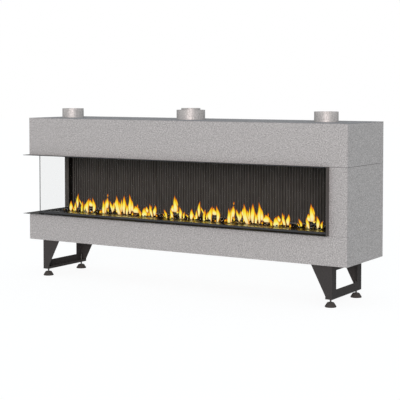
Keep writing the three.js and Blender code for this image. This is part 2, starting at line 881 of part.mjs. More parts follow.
/** Two perforated burner tubes, open at the middle of the tray where the injectors enter. */
function addBurnerTubes() {
  const names = { '-1': 'burner_tube_left', '1': 'burner_tube_right' };
  for (const side of [-1, 1]) {
    const [start, end] = tubeSpan(side);
    const along = (radius, x0, x1) => rod(
      radius, [x0, trayCentreY, tubeAxis], [x1, trayCentreY, tubeAxis], roundSides,
    );
    const boreStart = side < 0 ? start + tubeWall : start - overrun;
    const boreEnd = side < 0 ? end + overrun : end - tubeWall;
    let tube = cut(along(tubeRadius, start, end), along(tubeRadius - tubeWall, boreStart, boreEnd));
    const ports = Math.floor((end - start) / portPitch) - 1;
    const first = (start + end - (ports - 1) * portPitch - portLength) / 2;
    for (let i = 0; i < ports; i += 1) {
      const x = first + i * portPitch;
      tube = cut(tube, block(
        x, x + portLength, trayCentreY - portWidth / 2, trayCentreY + portWidth / 2,
        tubeAxis, tubeAxis + tubeRadius + overrun,
      ));
    }
    place(names[side], tube, steel);
  }
}

/** Lumpy bed of stones: a closed slab whose top rises and falls, with a notch for the pilot. */
function addStoneBed() {
  const x0 = trayLeft + sheet + fitGap;
  const x1 = trayRight - sheet - fitGap;
  const y0 = trayFront + sheet + fitGap;
  const y1 = trayRear - sheet - fitGap;
  const columns = Math.round((x1 - x0) / lumpPitch) * bedStepsPerLump;
  const crest = deckTop + bedRise;
  const slab = new THREE.BoxGeometry(x1 - x0, y1 - y0, crest - bedBottom, columns, bedRows, 1);
  slab.translate((x0 + x1) / 2, (y0 + y1) / 2, (crest + bedBottom) / 2);
  const position = slab.attributes.position;
  const middle = (crest + bedBottom) / 2;
  for (let i = 0; i < position.count; i += 1) {
    if (position.getZ(i) > middle) {
      const across = (position.getY(i) - y0) / (y1 - y0);
      const turn = (position.getX(i) - x0) / lumpPitch * Math.PI * 2;
      const lump = Math.sin(turn) * Math.cos(across * Math.PI * 4 + turn / 3);
      const heap = Math.sin(across * Math.PI);
      position.setZ(i, crest + lumpHeight * heap * (lump + 1) / 2 - bedRise * (1 - heap));
    }
  }
  const notch = block(
    trayCentreX - pilotNotchWidth / 2, trayCentreX + pilotNotchWidth / 2,
    y1 - pilotNotchDepth, y1 + overrun,
    bedBottom - overrun, crest + lumpHeight + overrun,
  );
  place('stone_bed', cut(solidOf(slab), notch), stone);
}

/** Pilot burner on its bracket, with the ignition electrode on its left and the flame sensor on its right. */
function addPilot() {
  const floor = trayFloor + sheet + fitGap;
  const shelf = floor + pilotShelfHeight;
  const rear = trayRear - sheet - fitGap;
  const rodY = rear - pilotBaseDepth / 2;
  const half = pilotSpacing + electrodeCollar + electrodeRadius;
  const bracket = join(
    block(trayCentreX - half, trayCentreX + half, rear - pilotBaseDepth, rear, floor, floor + pilotPlate),
    block(trayCentreX - half, trayCentreX + half, rear - pilotPlate, rear, floor, shelf),
    block(trayCentreX - half, trayCentreX + half, rear - pilotBaseDepth, rear, shelf - pilotPlate, shelf),
  );
  const hoodBottom = shelf + pilotRise;
  const hoodTop = hoodBottom + pilotHoodHeight;
  const burner = join(
    rod(pilotRodRadius, [trayCentreX, rodY, shelf - pilotPlate], [trayCentreX, rodY, hoodBottom], smallSides),
    rod(pilotHoodRadius, [trayCentreX, rodY, hoodBottom - weldLap], [trayCentreX, rodY, hoodTop], smallSides),
  );
  const holes = [-1, 1].map((side) => {
    const x = trayCentreX + side * pilotSpacing;
    const radius = (side < 0 ? electrodeRadius : sensorRadius) + fitGap;
    return rod(radius, [x, rodY, shelf - pilotPlate - overrun], [x, rodY, shelf + overrun], smallSides);
  });
  place('pilot_burner', cut(join(bracket, burner), ...holes), steel);

  const stick = (side, radius, finish, name) => {
    const x = trayCentreX + side * pilotSpacing;
    const upright = (thickness, z0, z1) => rod(thickness, [x, rodY, z0], [x, rodY, z1], smallSides);
    const collarBottom = shelf + fitGap;
    place(name, join(
      upright(radius, shelf - electrodeTail, shelf + electrodeRise),
      upright(electrodeCollar, collarBottom, collarBottom + electrodeCollarHeight),
    ), finish);
  };
  stick(-1, electrodeRadius, ceramic, 'ignition_electrode');
  stick(1, sensorRadius, steel, 'flame_sensor');
}

/** Gas valve with its knob, and the receiver beside it, on the base plate behind the corner panel. */
function addControls() {
  const floor = sheet + fitGap;
  const x0 = valveX - valveWidth / 2;
  const x1 = valveX + valveWidth / 2;
  const rear = valveFront + valveDepth;
  const valve = block(x0, x1, valveFront, rear, floor, floor + valveHeight);
  place('gas_valve', valve, castAluminium);

  const knobZ = floor + valveHeight / 2;
  const seat = valveFront - fitGap;
  const face = seat - knobStemLength - knobDepth;
  const grip = block(
    valveX - knobGripWidth / 2, valveX + knobGripWidth / 2, face - knobGripHeight, face + weldLap,
    knobZ - knobRadius, knobZ + knobRadius,
  );
  place('control_knob', join(
    rod(knobStemRadius, [valveX, seat, knobZ], [valveX, seat - knobStemLength - weldLap, knobZ], smallSides),
    rod(knobRadius, [valveX, seat - knobStemLength, knobZ], [valveX, face, knobZ], roundSides),
    grip,
  ), blackPlastic);

  const right = casingWidth - plainLip - fitGap;
  const left = right - receiverWidth;
  const outline = new THREE.Shape();
  const end = receiverFront + receiverDepth;
  const quarter = Math.PI / 2;
  const corners = [
    [right - receiverRound, receiverFront + receiverRound],
    [right - receiverRound, end - receiverRound],
    [left + receiverRound, end - receiverRound],
    [left + receiverRound, receiverFront + receiverRound],
  ];
  corners.forEach(([x, y], index) => {
    outline.absarc(x, y, receiverRound, (index - 1) * quarter, index * quarter, false);
  });
  const options = { depth: receiverHeight, bevelEnabled: false, curveSegments: 3 };
  const shell = new THREE.ExtrudeGeometry(outline, options);
  shell.translate(0, 0, floor);
  place('receiver_box', solidOf(shell), blackPlastic);
}

/** Shut-off tap below the base plate, its lever, and the pipes to the valve and to the burner. */
function addGasTrain() {
  const axis = -tapDrop;
  const left = tapX - tapLength / 2;
  const right = tapX + tapLength / 2;
  const level = (radius, x0, x1, sides) => rod(radius, [x0, supplyY, axis], [x1, supplyY, axis], sides);
  const upright = (radius, z0, z1, sides) => rod(radius, [tapX, supplyY, z0], [tapX, supplyY, z1], sides);
  place('tap_body', join(
    level(tapNutRadius, left, left + tapNutLength, nutSides),
    level(tapNutRadius, right - tapNutLength, right, nutSides),
    level(supplyRadius + sheet, left + tapNutLength / 2, right - tapNutLength / 2, smallSides),
    upright(tapBallRadius, axis - tapBallRadius, axis + tapBallRadius, roundSides),
  ), brass);

  const stemTop = axis - tapBallRadius - fitGap;
  const leverTop = stemTop - leverStemLength;
  const hubBottom = leverTop - leverThickness;
  place('tap_lever', join(
    upright(leverStemRadius, stemTop, leverTop - weldLap, smallSides),
    upright(leverHubRadius, leverTop, hubBottom, roundSides),
    block(tapX, tapX + leverLength, supplyY - leverWidth / 2, supplyY + leverWidth / 2, hubBottom, leverTop),
  ), steel);

  const riserX = right + tapRunOut;
  const valveRear = valveFront + valveDepth;
  const supplySteps = 56;
  place('supply_pipe', pipe(supplyRadius, [
    [right + fitGap, supplyY, axis],
    [riserX, supplyY, axis],
    [riserX, supplyY, supplyHeight],
    [valveX, supplyY, supplyHeight],
    [valveX, valveRear + fitGap, supplyHeight],
  ], pipeBend, supplySteps), steel);

  const manifoldSteps = 56;
  const burnerY = valveFront + valveDepth / 2;
  const teeBottom = tubeAxis - teeSide / 2;
  const run = pipe(manifoldRadius, [
    [valveX - valveWidth / 2 - fitGap, burnerY, manifoldHeight],
    [trayCentreX + manifoldTurn, burnerY, manifoldHeight],
    [trayCentreX, trayCentreY, manifoldHeight],
    [trayCentreX, trayCentreY, teeBottom + weldLap],
  ], pipeBend, manifoldSteps);
  const reach = tubeCentreGap / 2 + overrun;
  const injectorEnds = [-reach, reach].map((offset) => [trayCentreX + offset, trayCentreY, tubeAxis]);
  const tee = join(
    block(
      trayCentreX - teeSide / 2, trayCentreX + teeSide / 2,
      trayCentreY - teeSide / 2, trayCentreY + teeSide / 2,
      teeBottom, tubeAxis + teeSide / 2,
    ),
    rod(injectorRadius, ...injectorEnds, smallSides),
  );
  place('gas_manifold', join(run, tee), brass);
}

/** One leg frame. Side is -1 for the left one and 1 for the right one. */
function legFrame(side) {
  const outer = side < 0 ? legInset : casingWidth - legInset;
  const across = (distance) => outer - side * distance;
  const slab = (d0, d1, y0, y1, z0, z1) => block(
    Math.min(across(d0), across(d1)), Math.max(across(d0), across(d1)), y0, y1, z0, z1,
  );
  const top = -fitGap;
  const bottom = -legDrop;
  const lipHeight = bottom + legChannelLip;
  const mirrored = (outline) => {
    const placed = outline.map(([distance, height]) => [across(distance), height]);
    return side > 0 ? placed.reverse() : placed;
  };
  const section = mirrored([
    [0, bottom],
    [legChannelWidth, bottom],
    [legChannelWidth, lipHeight],
    [legChannelWidth - legPlate, lipHeight],
    [legChannelWidth - legPlate, bottom + legPlate],
    [legPlate, bottom + legPlate],
    [legPlate, top - legPlate],
    [legTopLip, top - legPlate],
    [legTopLip, top],
    [0, top],
  ]);
  const window = slab(
    -overrun, legPlate + overrun, legFront + legRingSide, legRear - legRingSide,
    bottom + legRingBottom, top - legRingTop,
  );
  const wing = mirrored([
    [weldStep, bottom + weldStep],
    [legChannelWidth - weldStep, bottom + weldStep],
    [legChannelWidth - weldStep, lipHeight - weldStep],
    [legWingTop, top - weldStep],
    [weldStep, top - weldStep],
  ]);
  const parts = [
    cut(prism(section, alongY, legFront + weldStep, legRear - weldStep), window),
    prism(wing, alongY, legFront, legFront + legPlate),
    prism(wing, alongY, legRear - legPlate, legRear),
  ];
  const footX = across(footAxisInset);
  const floor = bottom + legPlate;
  const nutTop = floor + legWeldNutHeight;
  const holes = [];
  for (const y of [footFrontY, footRearY]) {
    const upright = (radius, z0, z1, sides) => rod(radius, [footX, y, z0], [footX, y, z1], sides);
    parts.push(upright(legWeldNutRadius, floor - weldLap, nutTop, nutSides));
    holes.push(upright(spindleRadius + spindleClearance, bottom - overrun, nutTop + overrun, roundSides));
  }
  return cut(join(...parts), ...holes);
}

/** A levelling foot: a conical pad, and a spindle that stands in it and screws up into the leg frame. */
function addFoot(name, side, y) {
  const x = side < 0 ? legInset + footAxisInset : casingWidth - legInset - footAxisInset;
  const floor = -legDrop - footDrop;
  const top = floor + padHeight;
  const socket = top - padSocketDepth;
  const socketRadius = spindleRadius + fitGap;
  const pad = [
    [0, floor],
    [padRadius, floor],
    [padRadius, floor + padRim],
    [padShoulderRadius, top - padShoulderDrop],
    [padCrownRadius, top],
    [socketRadius, top],
    [socketRadius, socket],
    [0, socket],
  ];
  place(`foot_pad_${name}`, turned(pad, x, y, roundSides), blackSteel);
  const spindleTop = -legDrop + spindleReach;
  const spindle = rod(spindleRadius, [x, y, socket + fitGap], [x, y, spindleTop], roundSides);
  place(`foot_spindle_${name}`, spindle, steel);
}

addBasePlate();
addLowerCasing();
addRearPanel();
addCornerPanel();
addUpperCasing();
addFlangePair('top_flange', upperFlangeOutline());
addFlangePair('bottom_flange', lowerFlangeOutline());
addJamb();
addGlass();
addPost();
addBackLiner();
addShell();
addRoof();
addCollars();
addDeck();
addTray();
addBurnerTubes();
addStoneBed();
addPilot();
addControls();
addGasTrain();
place('left_leg_frame', legFrame(-1), blackSteel);
place('right_leg_frame', legFrame(1), blackSteel);
addFoot('front_left', -1, footFrontY);
addFoot('rear_left', -1, footRearY);
addFoot('front_right', 1, footFrontY);
addFoot('rear_right', 1, footRearY);

export default fireplace;
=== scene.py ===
"""Looks of a built-in gas fireplace with a glazed front and left side.

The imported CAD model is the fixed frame. The sizes written here are millimetres in the
maker's own frame: X to the right from the casing's left face, Y back from its front
face and Z up from its underside. ``at`` turns them into metres in the row frame.
"""

import json
import logging
import math
import random
from collections.abc import Callable, Iterator
from contextlib import contextmanager
from dataclasses import dataclass
from enum import Enum

import bmesh
import bpy
from mathutils import Matrix, Quaternion, Vector

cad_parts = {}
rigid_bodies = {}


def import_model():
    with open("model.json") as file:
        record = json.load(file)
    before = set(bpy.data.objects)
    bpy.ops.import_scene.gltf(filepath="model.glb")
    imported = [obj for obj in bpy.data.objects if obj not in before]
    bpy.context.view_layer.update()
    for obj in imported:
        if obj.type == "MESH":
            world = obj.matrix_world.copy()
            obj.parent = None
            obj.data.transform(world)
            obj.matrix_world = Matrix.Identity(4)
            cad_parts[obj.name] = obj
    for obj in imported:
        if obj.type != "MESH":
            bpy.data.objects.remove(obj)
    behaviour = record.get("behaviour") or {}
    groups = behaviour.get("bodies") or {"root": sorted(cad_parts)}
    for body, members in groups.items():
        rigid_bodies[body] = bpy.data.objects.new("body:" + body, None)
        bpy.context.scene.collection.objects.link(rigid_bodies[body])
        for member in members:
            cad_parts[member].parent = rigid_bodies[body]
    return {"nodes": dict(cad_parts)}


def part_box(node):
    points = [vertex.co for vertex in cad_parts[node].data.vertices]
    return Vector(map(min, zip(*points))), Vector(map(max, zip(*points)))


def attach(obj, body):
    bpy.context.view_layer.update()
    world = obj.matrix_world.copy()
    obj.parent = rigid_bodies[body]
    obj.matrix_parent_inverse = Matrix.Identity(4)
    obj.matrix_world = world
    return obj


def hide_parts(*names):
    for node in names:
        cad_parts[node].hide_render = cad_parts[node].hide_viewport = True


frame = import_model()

log = logging.getLogger("fireplace")

Piece = bpy.types.Object
Node = bpy.types.Node
Socket = bpy.types.NodeSocket
Colour = tuple[float, float, float, float]
Stops = tuple[tuple[float, str], ...]
Triple = tuple[float, float, float]

MM = 0.001
CASING_CORNER = (-1228.5, -258.5, 259.0)
# Cosine past which a direction counts as lying along an axis.
ALONG = 0.9


class Body(Enum):
    """The bodies of the CAD model that new pieces ride on."""

    CASING = "casing"
    FOOT_FRONT_LEFT = "foot_front_left"
    FOOT_REAR_LEFT = "foot_rear_left"
    FOOT_FRONT_RIGHT = "foot_front_right"
    FOOT_REAR_RIGHT = "foot_rear_right"


class Slot(Enum):
    """The record's material slots, which no piece here takes its finish from."""

    SHEET = "galvanised_sheet"
    STONES = "bed_stone"
    PLAIN_STEEL = "plain_steel"


def at(x: float, y: float, z: float) -> Vector:
    """Turns a place in the maker's frame into the row frame.

    Args:
        x: Millimetres to the right of the casing's left face.
        y: Millimetres behind the casing's front face.
        z: Millimetres above the casing's underside.

    Returns:
        The same place in metres in the row frame.
    """
    return Vector((x + CASING_CORNER[0], y + CASING_CORNER[1], z + CASING_CORNER[2])) * MM


def linear(code: str) -> Colour:
    """Turns an sRGB hex colour into linear light, by the standard's own curve.

    Args:
        code: The colour as "#rrggbb".

    Returns:
        Red, green, blue and an alpha of 1, in linear light.
    """
    parts = [int(code[i : i + 2], 16) / 255 for i in (1, 3, 5)]
    light = [c / 12.92 if c <= 0.04045 else ((c + 0.055) / 1.055) ** 2.4 for c in parts]
    return light[0], light[1], light[2], 1.0


def grey(level: float) -> Colour:
    """Gives a grey of a level of linear light."""
    return level, level, level, 1.0


@dataclass
class Nodes:
    """A node tree in the making, with the steps that the finishes repeat.

    Args:
        tree: The tree of a material or a world.
        shader: The material's principled shader, once it has one.
    """

    tree: bpy.types.NodeTree
    shader: Node | None = None

    @classmethod
    def of(cls, owner: bpy.types.Material | bpy.types.World) -> "Nodes":
        """Empties the node tree of a material or a world and takes it up."""
        owner.use_nodes = True
        owner.node_tree.nodes.clear()
        return cls(owner.node_tree)

    def add(
        self,
        kind: str,
        values: dict | None = None,
        links: dict | None = None,
        stops: Stops = (),
        **settings: object,
    ) -> Node:
        """Adds one node with its settings, socket values and links.

        Args:
            kind: The node's type name.
            values: Input name or index to the value that is set on it.
            links: Input name or index to the output socket that feeds it.
            stops: Place and hex colour of each stop, for a colour ramp.
            settings: Properties of the node itself.

        Returns:
            The new node.
        """
        node = self.tree.nodes.new(kind)
        for name, value in settings.items():
            setattr(node, name, value)
        for name, value in (values or {}).items():
            node.inputs[name].default_value = value
        for name, socket in (links or {}).items():
            self.tree.links.new(socket, node.inputs[name])
        for index, (place, code) in enumerate(stops):
            ramp = node.color_ramp.elements
            stop = ramp[index] if index < 2 else ramp.new(place)
            stop.position = place
            stop.color = linear(code)
        return node

    def feed(self, name: str, value: Socket) -> None:
        """Links a socket to the shader's input of that name."""
        self.tree.links.new(value, self.shader.inputs[name])

    def axes(self, kind: str = "Object") -> Node:
        """Adds the X, Y and Z of a texture coordinate and returns their node."""
        place = self.add("ShaderNodeTexCoord").outputs[kind]
        return self.add("ShaderNodeSeparateXYZ", links={0: place})

    def cells(self, size_mm: float) -> Node:
        """Adds a pattern of cells of a size in millimetres and returns its node."""
        place = self.add("ShaderNodeTexCoord").outputs["Object"]
        return self.add("ShaderNodeTexVoronoi", {"Scale": 1 / (size_mm * MM)}, {"Vector": place})

    def remap(self, value: Socket, **ends: float) -> Socket:
        """Maps a socket from one range to another and returns the result's socket.

        Args:
            value: The socket that is mapped.
            ends: from_min, from_max, to_min and to_max, which else are 0 and 1.
        """
        inputs = {end.replace("_", " ").title(): number for end, number in ends.items()}
        return self.add("ShaderNodeMapRange", inputs, {"Value": value}).outputs[0]

    def compare(self, kind: str, value: Socket, limit: float) -> Socket:
        """Gives a socket that is 1 where another is past a limit, and 0 elsewhere.

        Args:
            kind: "GREATER_THAN" or "LESS_THAN".
            value: The socket that is tested.
            limit: What it is compared with.
        """
        return self.add("ShaderNodeMath", {1: limit}, {0: value}, operation=kind).outputs[0]

    def product(self, colour: Socket, factor: Socket) -> Socket:
        """Multiplies one socket's colour by another's and returns the result's socket."""
        sides = {6: colour, 7: factor}
        style = {"data_type": "RGBA", "blend_type": "MULTIPLY"}
        return self.add("ShaderNodeMix", {0: 1.0}, sides, **style).outputs[2]

    def darken(self, factor: Socket) -> None:
        """Multiplies the shader's own colour by a socket."""
        own = self.shader.inputs["Base Color"].links[0].from_socket
        self.feed("Base Color", self.product(own, factor))

    def overlay(self, share: Socket, code: str) -> None:
        """Lays a colour over the shader's own.

        Args:
            share: The socket that says how much of the new colour shows.
            code: The new colour, as sRGB hex.
        """
        base = self.shader.inputs["Base Color"]
        sides = {6: base.default_value, 7: linear(code)}
        mixed = self.add("ShaderNodeMix", sides, {0: share}, data_type="RGBA")
        if base.is_linked:
            self.tree.links.new(base.links[0].from_socket, mixed.inputs[6])
        self.feed("Base Color", mixed.outputs[2])

    def seen_or_lighting(self, lighting: Node, seen: Node) -> Socket:
        """Mixes two shaders by the kind of ray and returns the mixture's socket.

        Args:
            lighting: The shader for rays that carry light.
            seen: The shader for rays of the eye, of gloss and of clear glass.
        """
        path = self.add("ShaderNodeLightPath")
        share = path.outputs["Is Camera Ray"]
        for kind in ("Is Glossy Ray", "Is Transmission Ray"):
            either = {0: share, 1: path.outputs[kind]}
            share = self.add("ShaderNodeMath", links=either, operation="MAXIMUM").outputs[0]
        ends = {0: share, 1: lighting.outputs[0], 2: seen.outputs[0]}
        return self.add("ShaderNodeMixShader", links=ends).outputs[0]


def select_only(piece: Piece | None = None) -> None:
    """Deselects every object, then makes the given one, if any, the active choice."""
    for other in bpy.context.view_layer.objects:
        other.select_set(False)
    if piece is not None:
        piece.select_set(True)
        bpy.context.view_layer.objects.active = piece


def named(name: str) -> Piece:
    """Names the active piece and its mesh and returns the piece."""
    piece = bpy.context.object
    piece.name = piece.data.name = name
    return piece


def apply_place() -> None:
    """Puts the selected piece's place, turn and size into its mesh."""
    bpy.ops.object.transform_apply(location=True, rotation=True, scale=True)


@contextmanager
def editing(piece: Piece) -> Iterator[None]:
    """Opens a piece in edit mode with all of it selected, and closes it again.

    Args:
        piece: The mesh object to shape.
    """
    select_only(piece)
    bpy.ops.object.mode_set(mode="EDIT")
    bpy.ops.mesh.select_mode(type="FACE")
    bpy.ops.mesh.select_all(action="SELECT")
    yield
    bpy.ops.object.mode_set(mode="OBJECT")


def pick(piece: Piece, part: str, wanted: Callable[[Vector, Vector], bool]) -> None:
    """Selects, in edit mode, the edges or vertices that a test wants.

    Args:
        piece: The object in edit mode.
        part: "EDGE" or "VERT".
        wanted: Test of an element's middle and normal, an edge's being its direction.
    """
    bpy.ops.mesh.select_mode(type=part)
    bpy.ops.mesh.select_all(action="DESELECT")
    shape = bmesh.from_edit_mesh(piece.data)
    if part == "EDGE":
        found = [
            (e, (e.verts[0].co + e.verts[1].co) / 2, (e.verts[1].co - e.verts[0].co).normalized())
            for e in shape.edges
        ]
    else:
        found = [(v, v.co, v.normal) for v in shape.verts]
    for element, middle, direction in found:
        if wanted(middle, direction):
            element.select_set(True)
    shape.select_flush_mode()
    bmesh.update_edit_mesh(piece.data)


def settle(piece: Piece) -> None:
    """Puts a piece's place, turn and size into its mesh, with its faces outwards."""
    select_only(piece)
    apply_place()
    with editing(piece):
        bpy.ops.mesh.normals_make_consistent(inside=False)


def let_light_through(*pieces: Piece) -> None:
    """Keeps pieces from throwing a shadow or a tint on others."""
    for piece in pieces:
        piece.visible_shadow = piece.visible_diffuse = False


def copy_of(master: Piece, name: str, turn: Matrix) -> Piece:
    """Copies a modelled piece with its own mesh.

    Args:
        master: The piece to copy.
        name: The copy's name.
        turn: The matrix that takes the master's mesh to the copy's place.

    Returns:
        The copy, whose place is in its mesh.
    """
    twin = master.copy()
    twin.data = master.data.copy()
    twin.name = twin.data.name = name
    twin.data.transform(turn)
    bpy.context.scene.collection.objects.link(twin)
    return twin


@dataclass(frozen=True)
class Finish:
    """A finish: one real material and how its surface was made.

    Args:
        label: The material's name.
        colour: Its own colour, as sRGB hex.
        roughness: How matt it is, from 0 to 1.
        metallic: How much of it is bare metal.
        specular: The sheen's level, where 0.5 is a common plastic or lacquer.
        edge_tint: How much a metal keeps of its reflection at a grazing angle.
        own_light: Whether it shines without lighting what is round it.
    """

    label: str
    colour: str
    roughness: float = 0.5
    metallic: float = 0.0
    specular: float = 0.5
    edge_tint: float = 1.0
    own_light: bool = False

    def material(self) -> bpy.types.Material:
        """Makes the material once and returns it.

        Returns:
            The Blender material of this finish.
        """
        found = bpy.data.materials.get(self.label)
        if found:
            return found
        made = bpy.data.materials.new(self.label)
        nodes = Nodes.of(made)
        nodes.shader = nodes.add(
            "ShaderNodeBsdfPrincipled",
            {
                "Base Color": linear(self.colour),
                "Roughness": self.roughness,
                "Metallic": self.metallic,
                "Specular IOR Level": self.specular,
                "Specular Tint": grey(self.edge_tint),
            },
        )
        self.dress(nodes)
        if self.own_light:
            made.cycles.emission_sampling = "NONE"
        nodes.add("ShaderNodeOutputMaterial", links={"Surface": nodes.shader.outputs[0]})
        return made

    def dress(self, nodes: Nodes) -> None:
        """Adds the pattern of the finish to its shader.

        Args:
            nodes: The material's nodes.
        """
        raise NotImplementedError

    def put_on(self, *pieces: Piece) -> None:
        """Gives pieces this finish in every material slot.

        Args:
            pieces: The pieces to dress.
        """
        for piece in pieces:
            if not piece.data.materials:
                piece.data.materials.append(self.material())
            for slot in piece.material_slots:
                slot.material = self.material()


@dataclass(frozen=True)
class MottledFinish(Finish):
    """A finish whose colour strays in soft spots, often with a grain that stands up.

    Args:
        dark: The darkest spots' colour.
        light: The lightest spots' colour.
        spot_mm: The size of a spot.
        reach: Half the span of the noise that goes from dark to light.
        stretch: How much closer together the spots are along each axis.
        detail: How many finer layers the noise has.
        layer_share: How much of a layer's strength the next finer one has.
        uneven: How far its roughness strays, the light spots being smoother.
        bump: How strongly the spots stand up, from 0 to 1.
        bump_mm: How high they stand.
    """

    dark: str = "#8a8a88"
    light: str = "#b4b4b2"
    spot_mm: float = 3.0
    reach: float = 0.25
    stretch: Triple = (1, 1, 1)
    detail: float = 2.0
    layer_share: float = 0.6
    uneven: float = 0.0
    bump: float = 0.0
    bump_mm: float = 0.2

    def dress(self, nodes: Nodes) -> None:
        """Adds the spots and what they do to gloss and relief."""
        own = nodes.add("ShaderNodeTexCoord").outputs["Object"]
        scaled = nodes.add("ShaderNodeMapping", {"Scale": self.stretch}, {0: own})
        scale = 1 / (self.spot_mm * MM)
        settings = {"Scale": scale, "Detail": self.detail, "Roughness": self.layer_share}
        noise = nodes.add("ShaderNodeTexNoise", settings, {0: scaled.outputs[0]}).outputs[0]
        ends = ((0.5 - self.reach, self.dark), (0.5 + self.reach, self.light))
        ramp = nodes.add("ShaderNodeValToRGB", links={0: noise}, stops=ends)
        nodes.feed("Base Color", ramp.outputs[0])
        if self.uneven:
            dull, bright = self.roughness + self.uneven, self.roughness - self.uneven
            nodes.feed("Roughness", nodes.remap(noise, to_min=dull, to_max=bright))
        if self.bump:
            size = {"Strength": self.bump, "Distance": self.bump_mm * MM}
            raised = nodes.add("ShaderNodeBump", size, {"Height": noise})
            nodes.feed("Normal", raised.outputs[0])


@dataclass(frozen=True)
class GalvanisedSheet(MottledFinish):
    """Hot-dip galvanised steel sheet: matt grey zinc with a fine crystal grain.

    Args:
        spangle_mm: The size of the zinc crystals that turn the light a little.
        sparkle: How far a crystal's brightness strays.
        crystal_uneven: How far a crystal's roughness strays.
        weld_x: X in millimetres of the face with the spot welds.
        weld_radius: A weld's radius in millimetres.
        weld_core: The share of the radius that is fully pale.
        weld_colour: A weld's colour.
        welds: Y and Z in millimetres of the spot welds on the right side.
    """

    dark: str = "#949190"
    light: str = "#d5d2d1"
    spot_mm: float = 7.0
    reach: float = 0.2
    bump: float = 0.25
    bump_mm: float = 0.4
    spangle_mm: float = 13.0
    sparkle: float = 0.025
    crystal_uneven: float = 0.1
    weld_x: float = 2490.0
    weld_radius: float = 6.5
    weld_core: float = 0.6
    weld_colour: str = "#cfcfcd"
    welds: tuple[tuple[float, float], ...] = ()

    def dress(self, nodes: Nodes) -> None:
        """Adds grain, spangle and the pale rings of the spot welds."""
        super().dress(nodes)
        crystals = nodes.cells(self.spangle_mm).outputs["Color"]
        chance = nodes.add("ShaderNodeSeparateColor", links={0: crystals})
        low, high = 1 - self.sparkle, 1 + self.sparkle
        nodes.darken(nodes.remap(chance.outputs[0], to_min=low, to_max=high))
        place = nodes.add("ShaderNodeTexCoord").outputs["Object"]
        rim = self.weld_radius * MM
        for y, z in self.welds:
            weld = {1: at(self.weld_x, y, z)}
            away = nodes.add("ShaderNodeVectorMath", weld, {0: place}, operation="DISTANCE")
            pale = nodes.remap(away.outputs["Value"], from_min=rim, from_max=self.weld_core * rim)
            nodes.overlay(pale, self.weld_colour)
        low, high = self.roughness - self.crystal_uneven, self.roughness + self.crystal_uneven
        nodes.feed("Roughness", nodes.remap(chance.outputs[1], to_min=low, to_max=high))


@dataclass(frozen=True)
class DrawnCollar(MottledFinish):
    """Bright zinc-coated steel tube, with the sheet's speckle on a smoother coat."""

    dark: str = "#aaa7a5"
    light: str = "#d6d3d1"
    spot_mm: float = 8.0
    reach: float = 0.22
    uneven: float = 0.1


@dataclass(frozen=True)
class PowderCoat(MottledFinish):
    """Black polyester powder coat: matt, with the fine peel of a baked powder.

    The spots are the peel's grain, coarser than the real 1 mm so that it shows.

    Args:
        shade_past: X in millimetres past which the coat is painted near black as painted shade, if any.
        painted_shade: The colour of that painted shade.
        lying: The colour of painted shade on the faces that look up, where they differ.
        level: How far up the normal of such a face points, 1 being straight up.
    """

    spot_mm: float = 7.0
    bump: float = 0.15
    bump_mm: float = 0.3
    shade_past: float | None = None
    painted_shade: str = "#191817"
    lying: str | None = None
    level: float = 0.7

    def dress(self, nodes: Nodes) -> None:
        """Adds the peel and, where asked for, painted shade on the faces that look up and past shade_past.
        """
        super().dress(nodes)
        # Painted shade: the faces that look up take a darker colour.
        if self.lying is not None:
            upward = nodes.axes("Normal").outputs["Z"]
            flat = nodes.compare("GREATER_THAN", upward, self.level)
            nodes.overlay(flat, self.lying)
        # Painted shade: past shade_past the coat is laid over with a near-black colour.
        if self.shade_past is not None:
            limit = at(self.shade_past, 0, 0).x
            past = nodes.compare("GREATER_THAN", nodes.axes().outputs["X"], limit)
            nodes.overlay(past, self.painted_shade)


@dataclass(frozen=True)
class GlossEnamel(MottledFinish):
    """Black stove enamel on the firebox deck: glassy, a little wavy from firing.

    Its spots are the waves that break its reflections, and the bump their steepness.
    """

    dark: str = "#0f0f0f"
    light: str = "#242322"
    spot_mm: float = 14.0
    bump: float = 0.3
    bump_mm: float = 1.0


@dataclass(frozen=True)
class TurnedMetal(MottledFinish):
    """Bare or cast metal, and moulded parts, with a fine even grain."""

    bump: float = 0.12


@dataclass(frozen=True)
class BakedLiner(MottledFinish):
    """Heat-resistant stove paint on the ribbed liner: dull and warm, with painted shade in its grooves.

    Its spots are smoke streaks, from the darkest smoke to the cleanest paint.

    Args:
        groove_y: Y in millimetres of the grooves' bottom.
        tip_y: Y in millimetres of the ribs' tips.
        groove: How much of the paint's colour is left at the bottom of a groove, under its painted shade.
        corner_x: X in millimetres of the corner behind the post, where the painted shade is deepest.
        corner_mm: How far the corner's painted shade reaches.
        corner_shade_power: How many times over the grooves' painted shade is laid on in the corner.
    """

    dark: str = "#53504c"
    light: str = "#64615d"
    spot_mm: float = 40.0
    stretch: Triple = (1, 1, 0.3)
    groove_y: float = 390.0
    tip_y: float = 378.0
    groove: float = 0.36
    corner_x: float = 90.0
    corner_mm: float = 120.0
    corner_shade_power: float = 3.0

    def dress(self, nodes: Nodes) -> None:
        """Adds faint upright smoke streaks and painted shade in the grooves, deepest in the corner behind
        the post.
        """
        super().dress(nodes)
        # Painted shade: darker towards the bottom of each groove, and more so near the corner behind the
        # post.
        axes = nodes.axes()
        unshaded = nodes.remap(
            axes.outputs["Y"],
            from_min=at(0, self.groove_y, 0).y,
            from_max=at(0, self.tip_y, 0).y,
            to_min=self.groove,
        )
        corner = nodes.remap(
            axes.outputs["X"],
            from_min=at(self.corner_x, 0, 0).x,
            from_max=at(self.corner_x + self.corner_mm, 0, 0).x,
            to_min=self.corner_shade_power,
        )
        painted_shade = nodes.add("ShaderNodeMath", links={0: unshaded, 1: corner}, operation="POWER")
        nodes.darken(painted_shade.outputs[0])


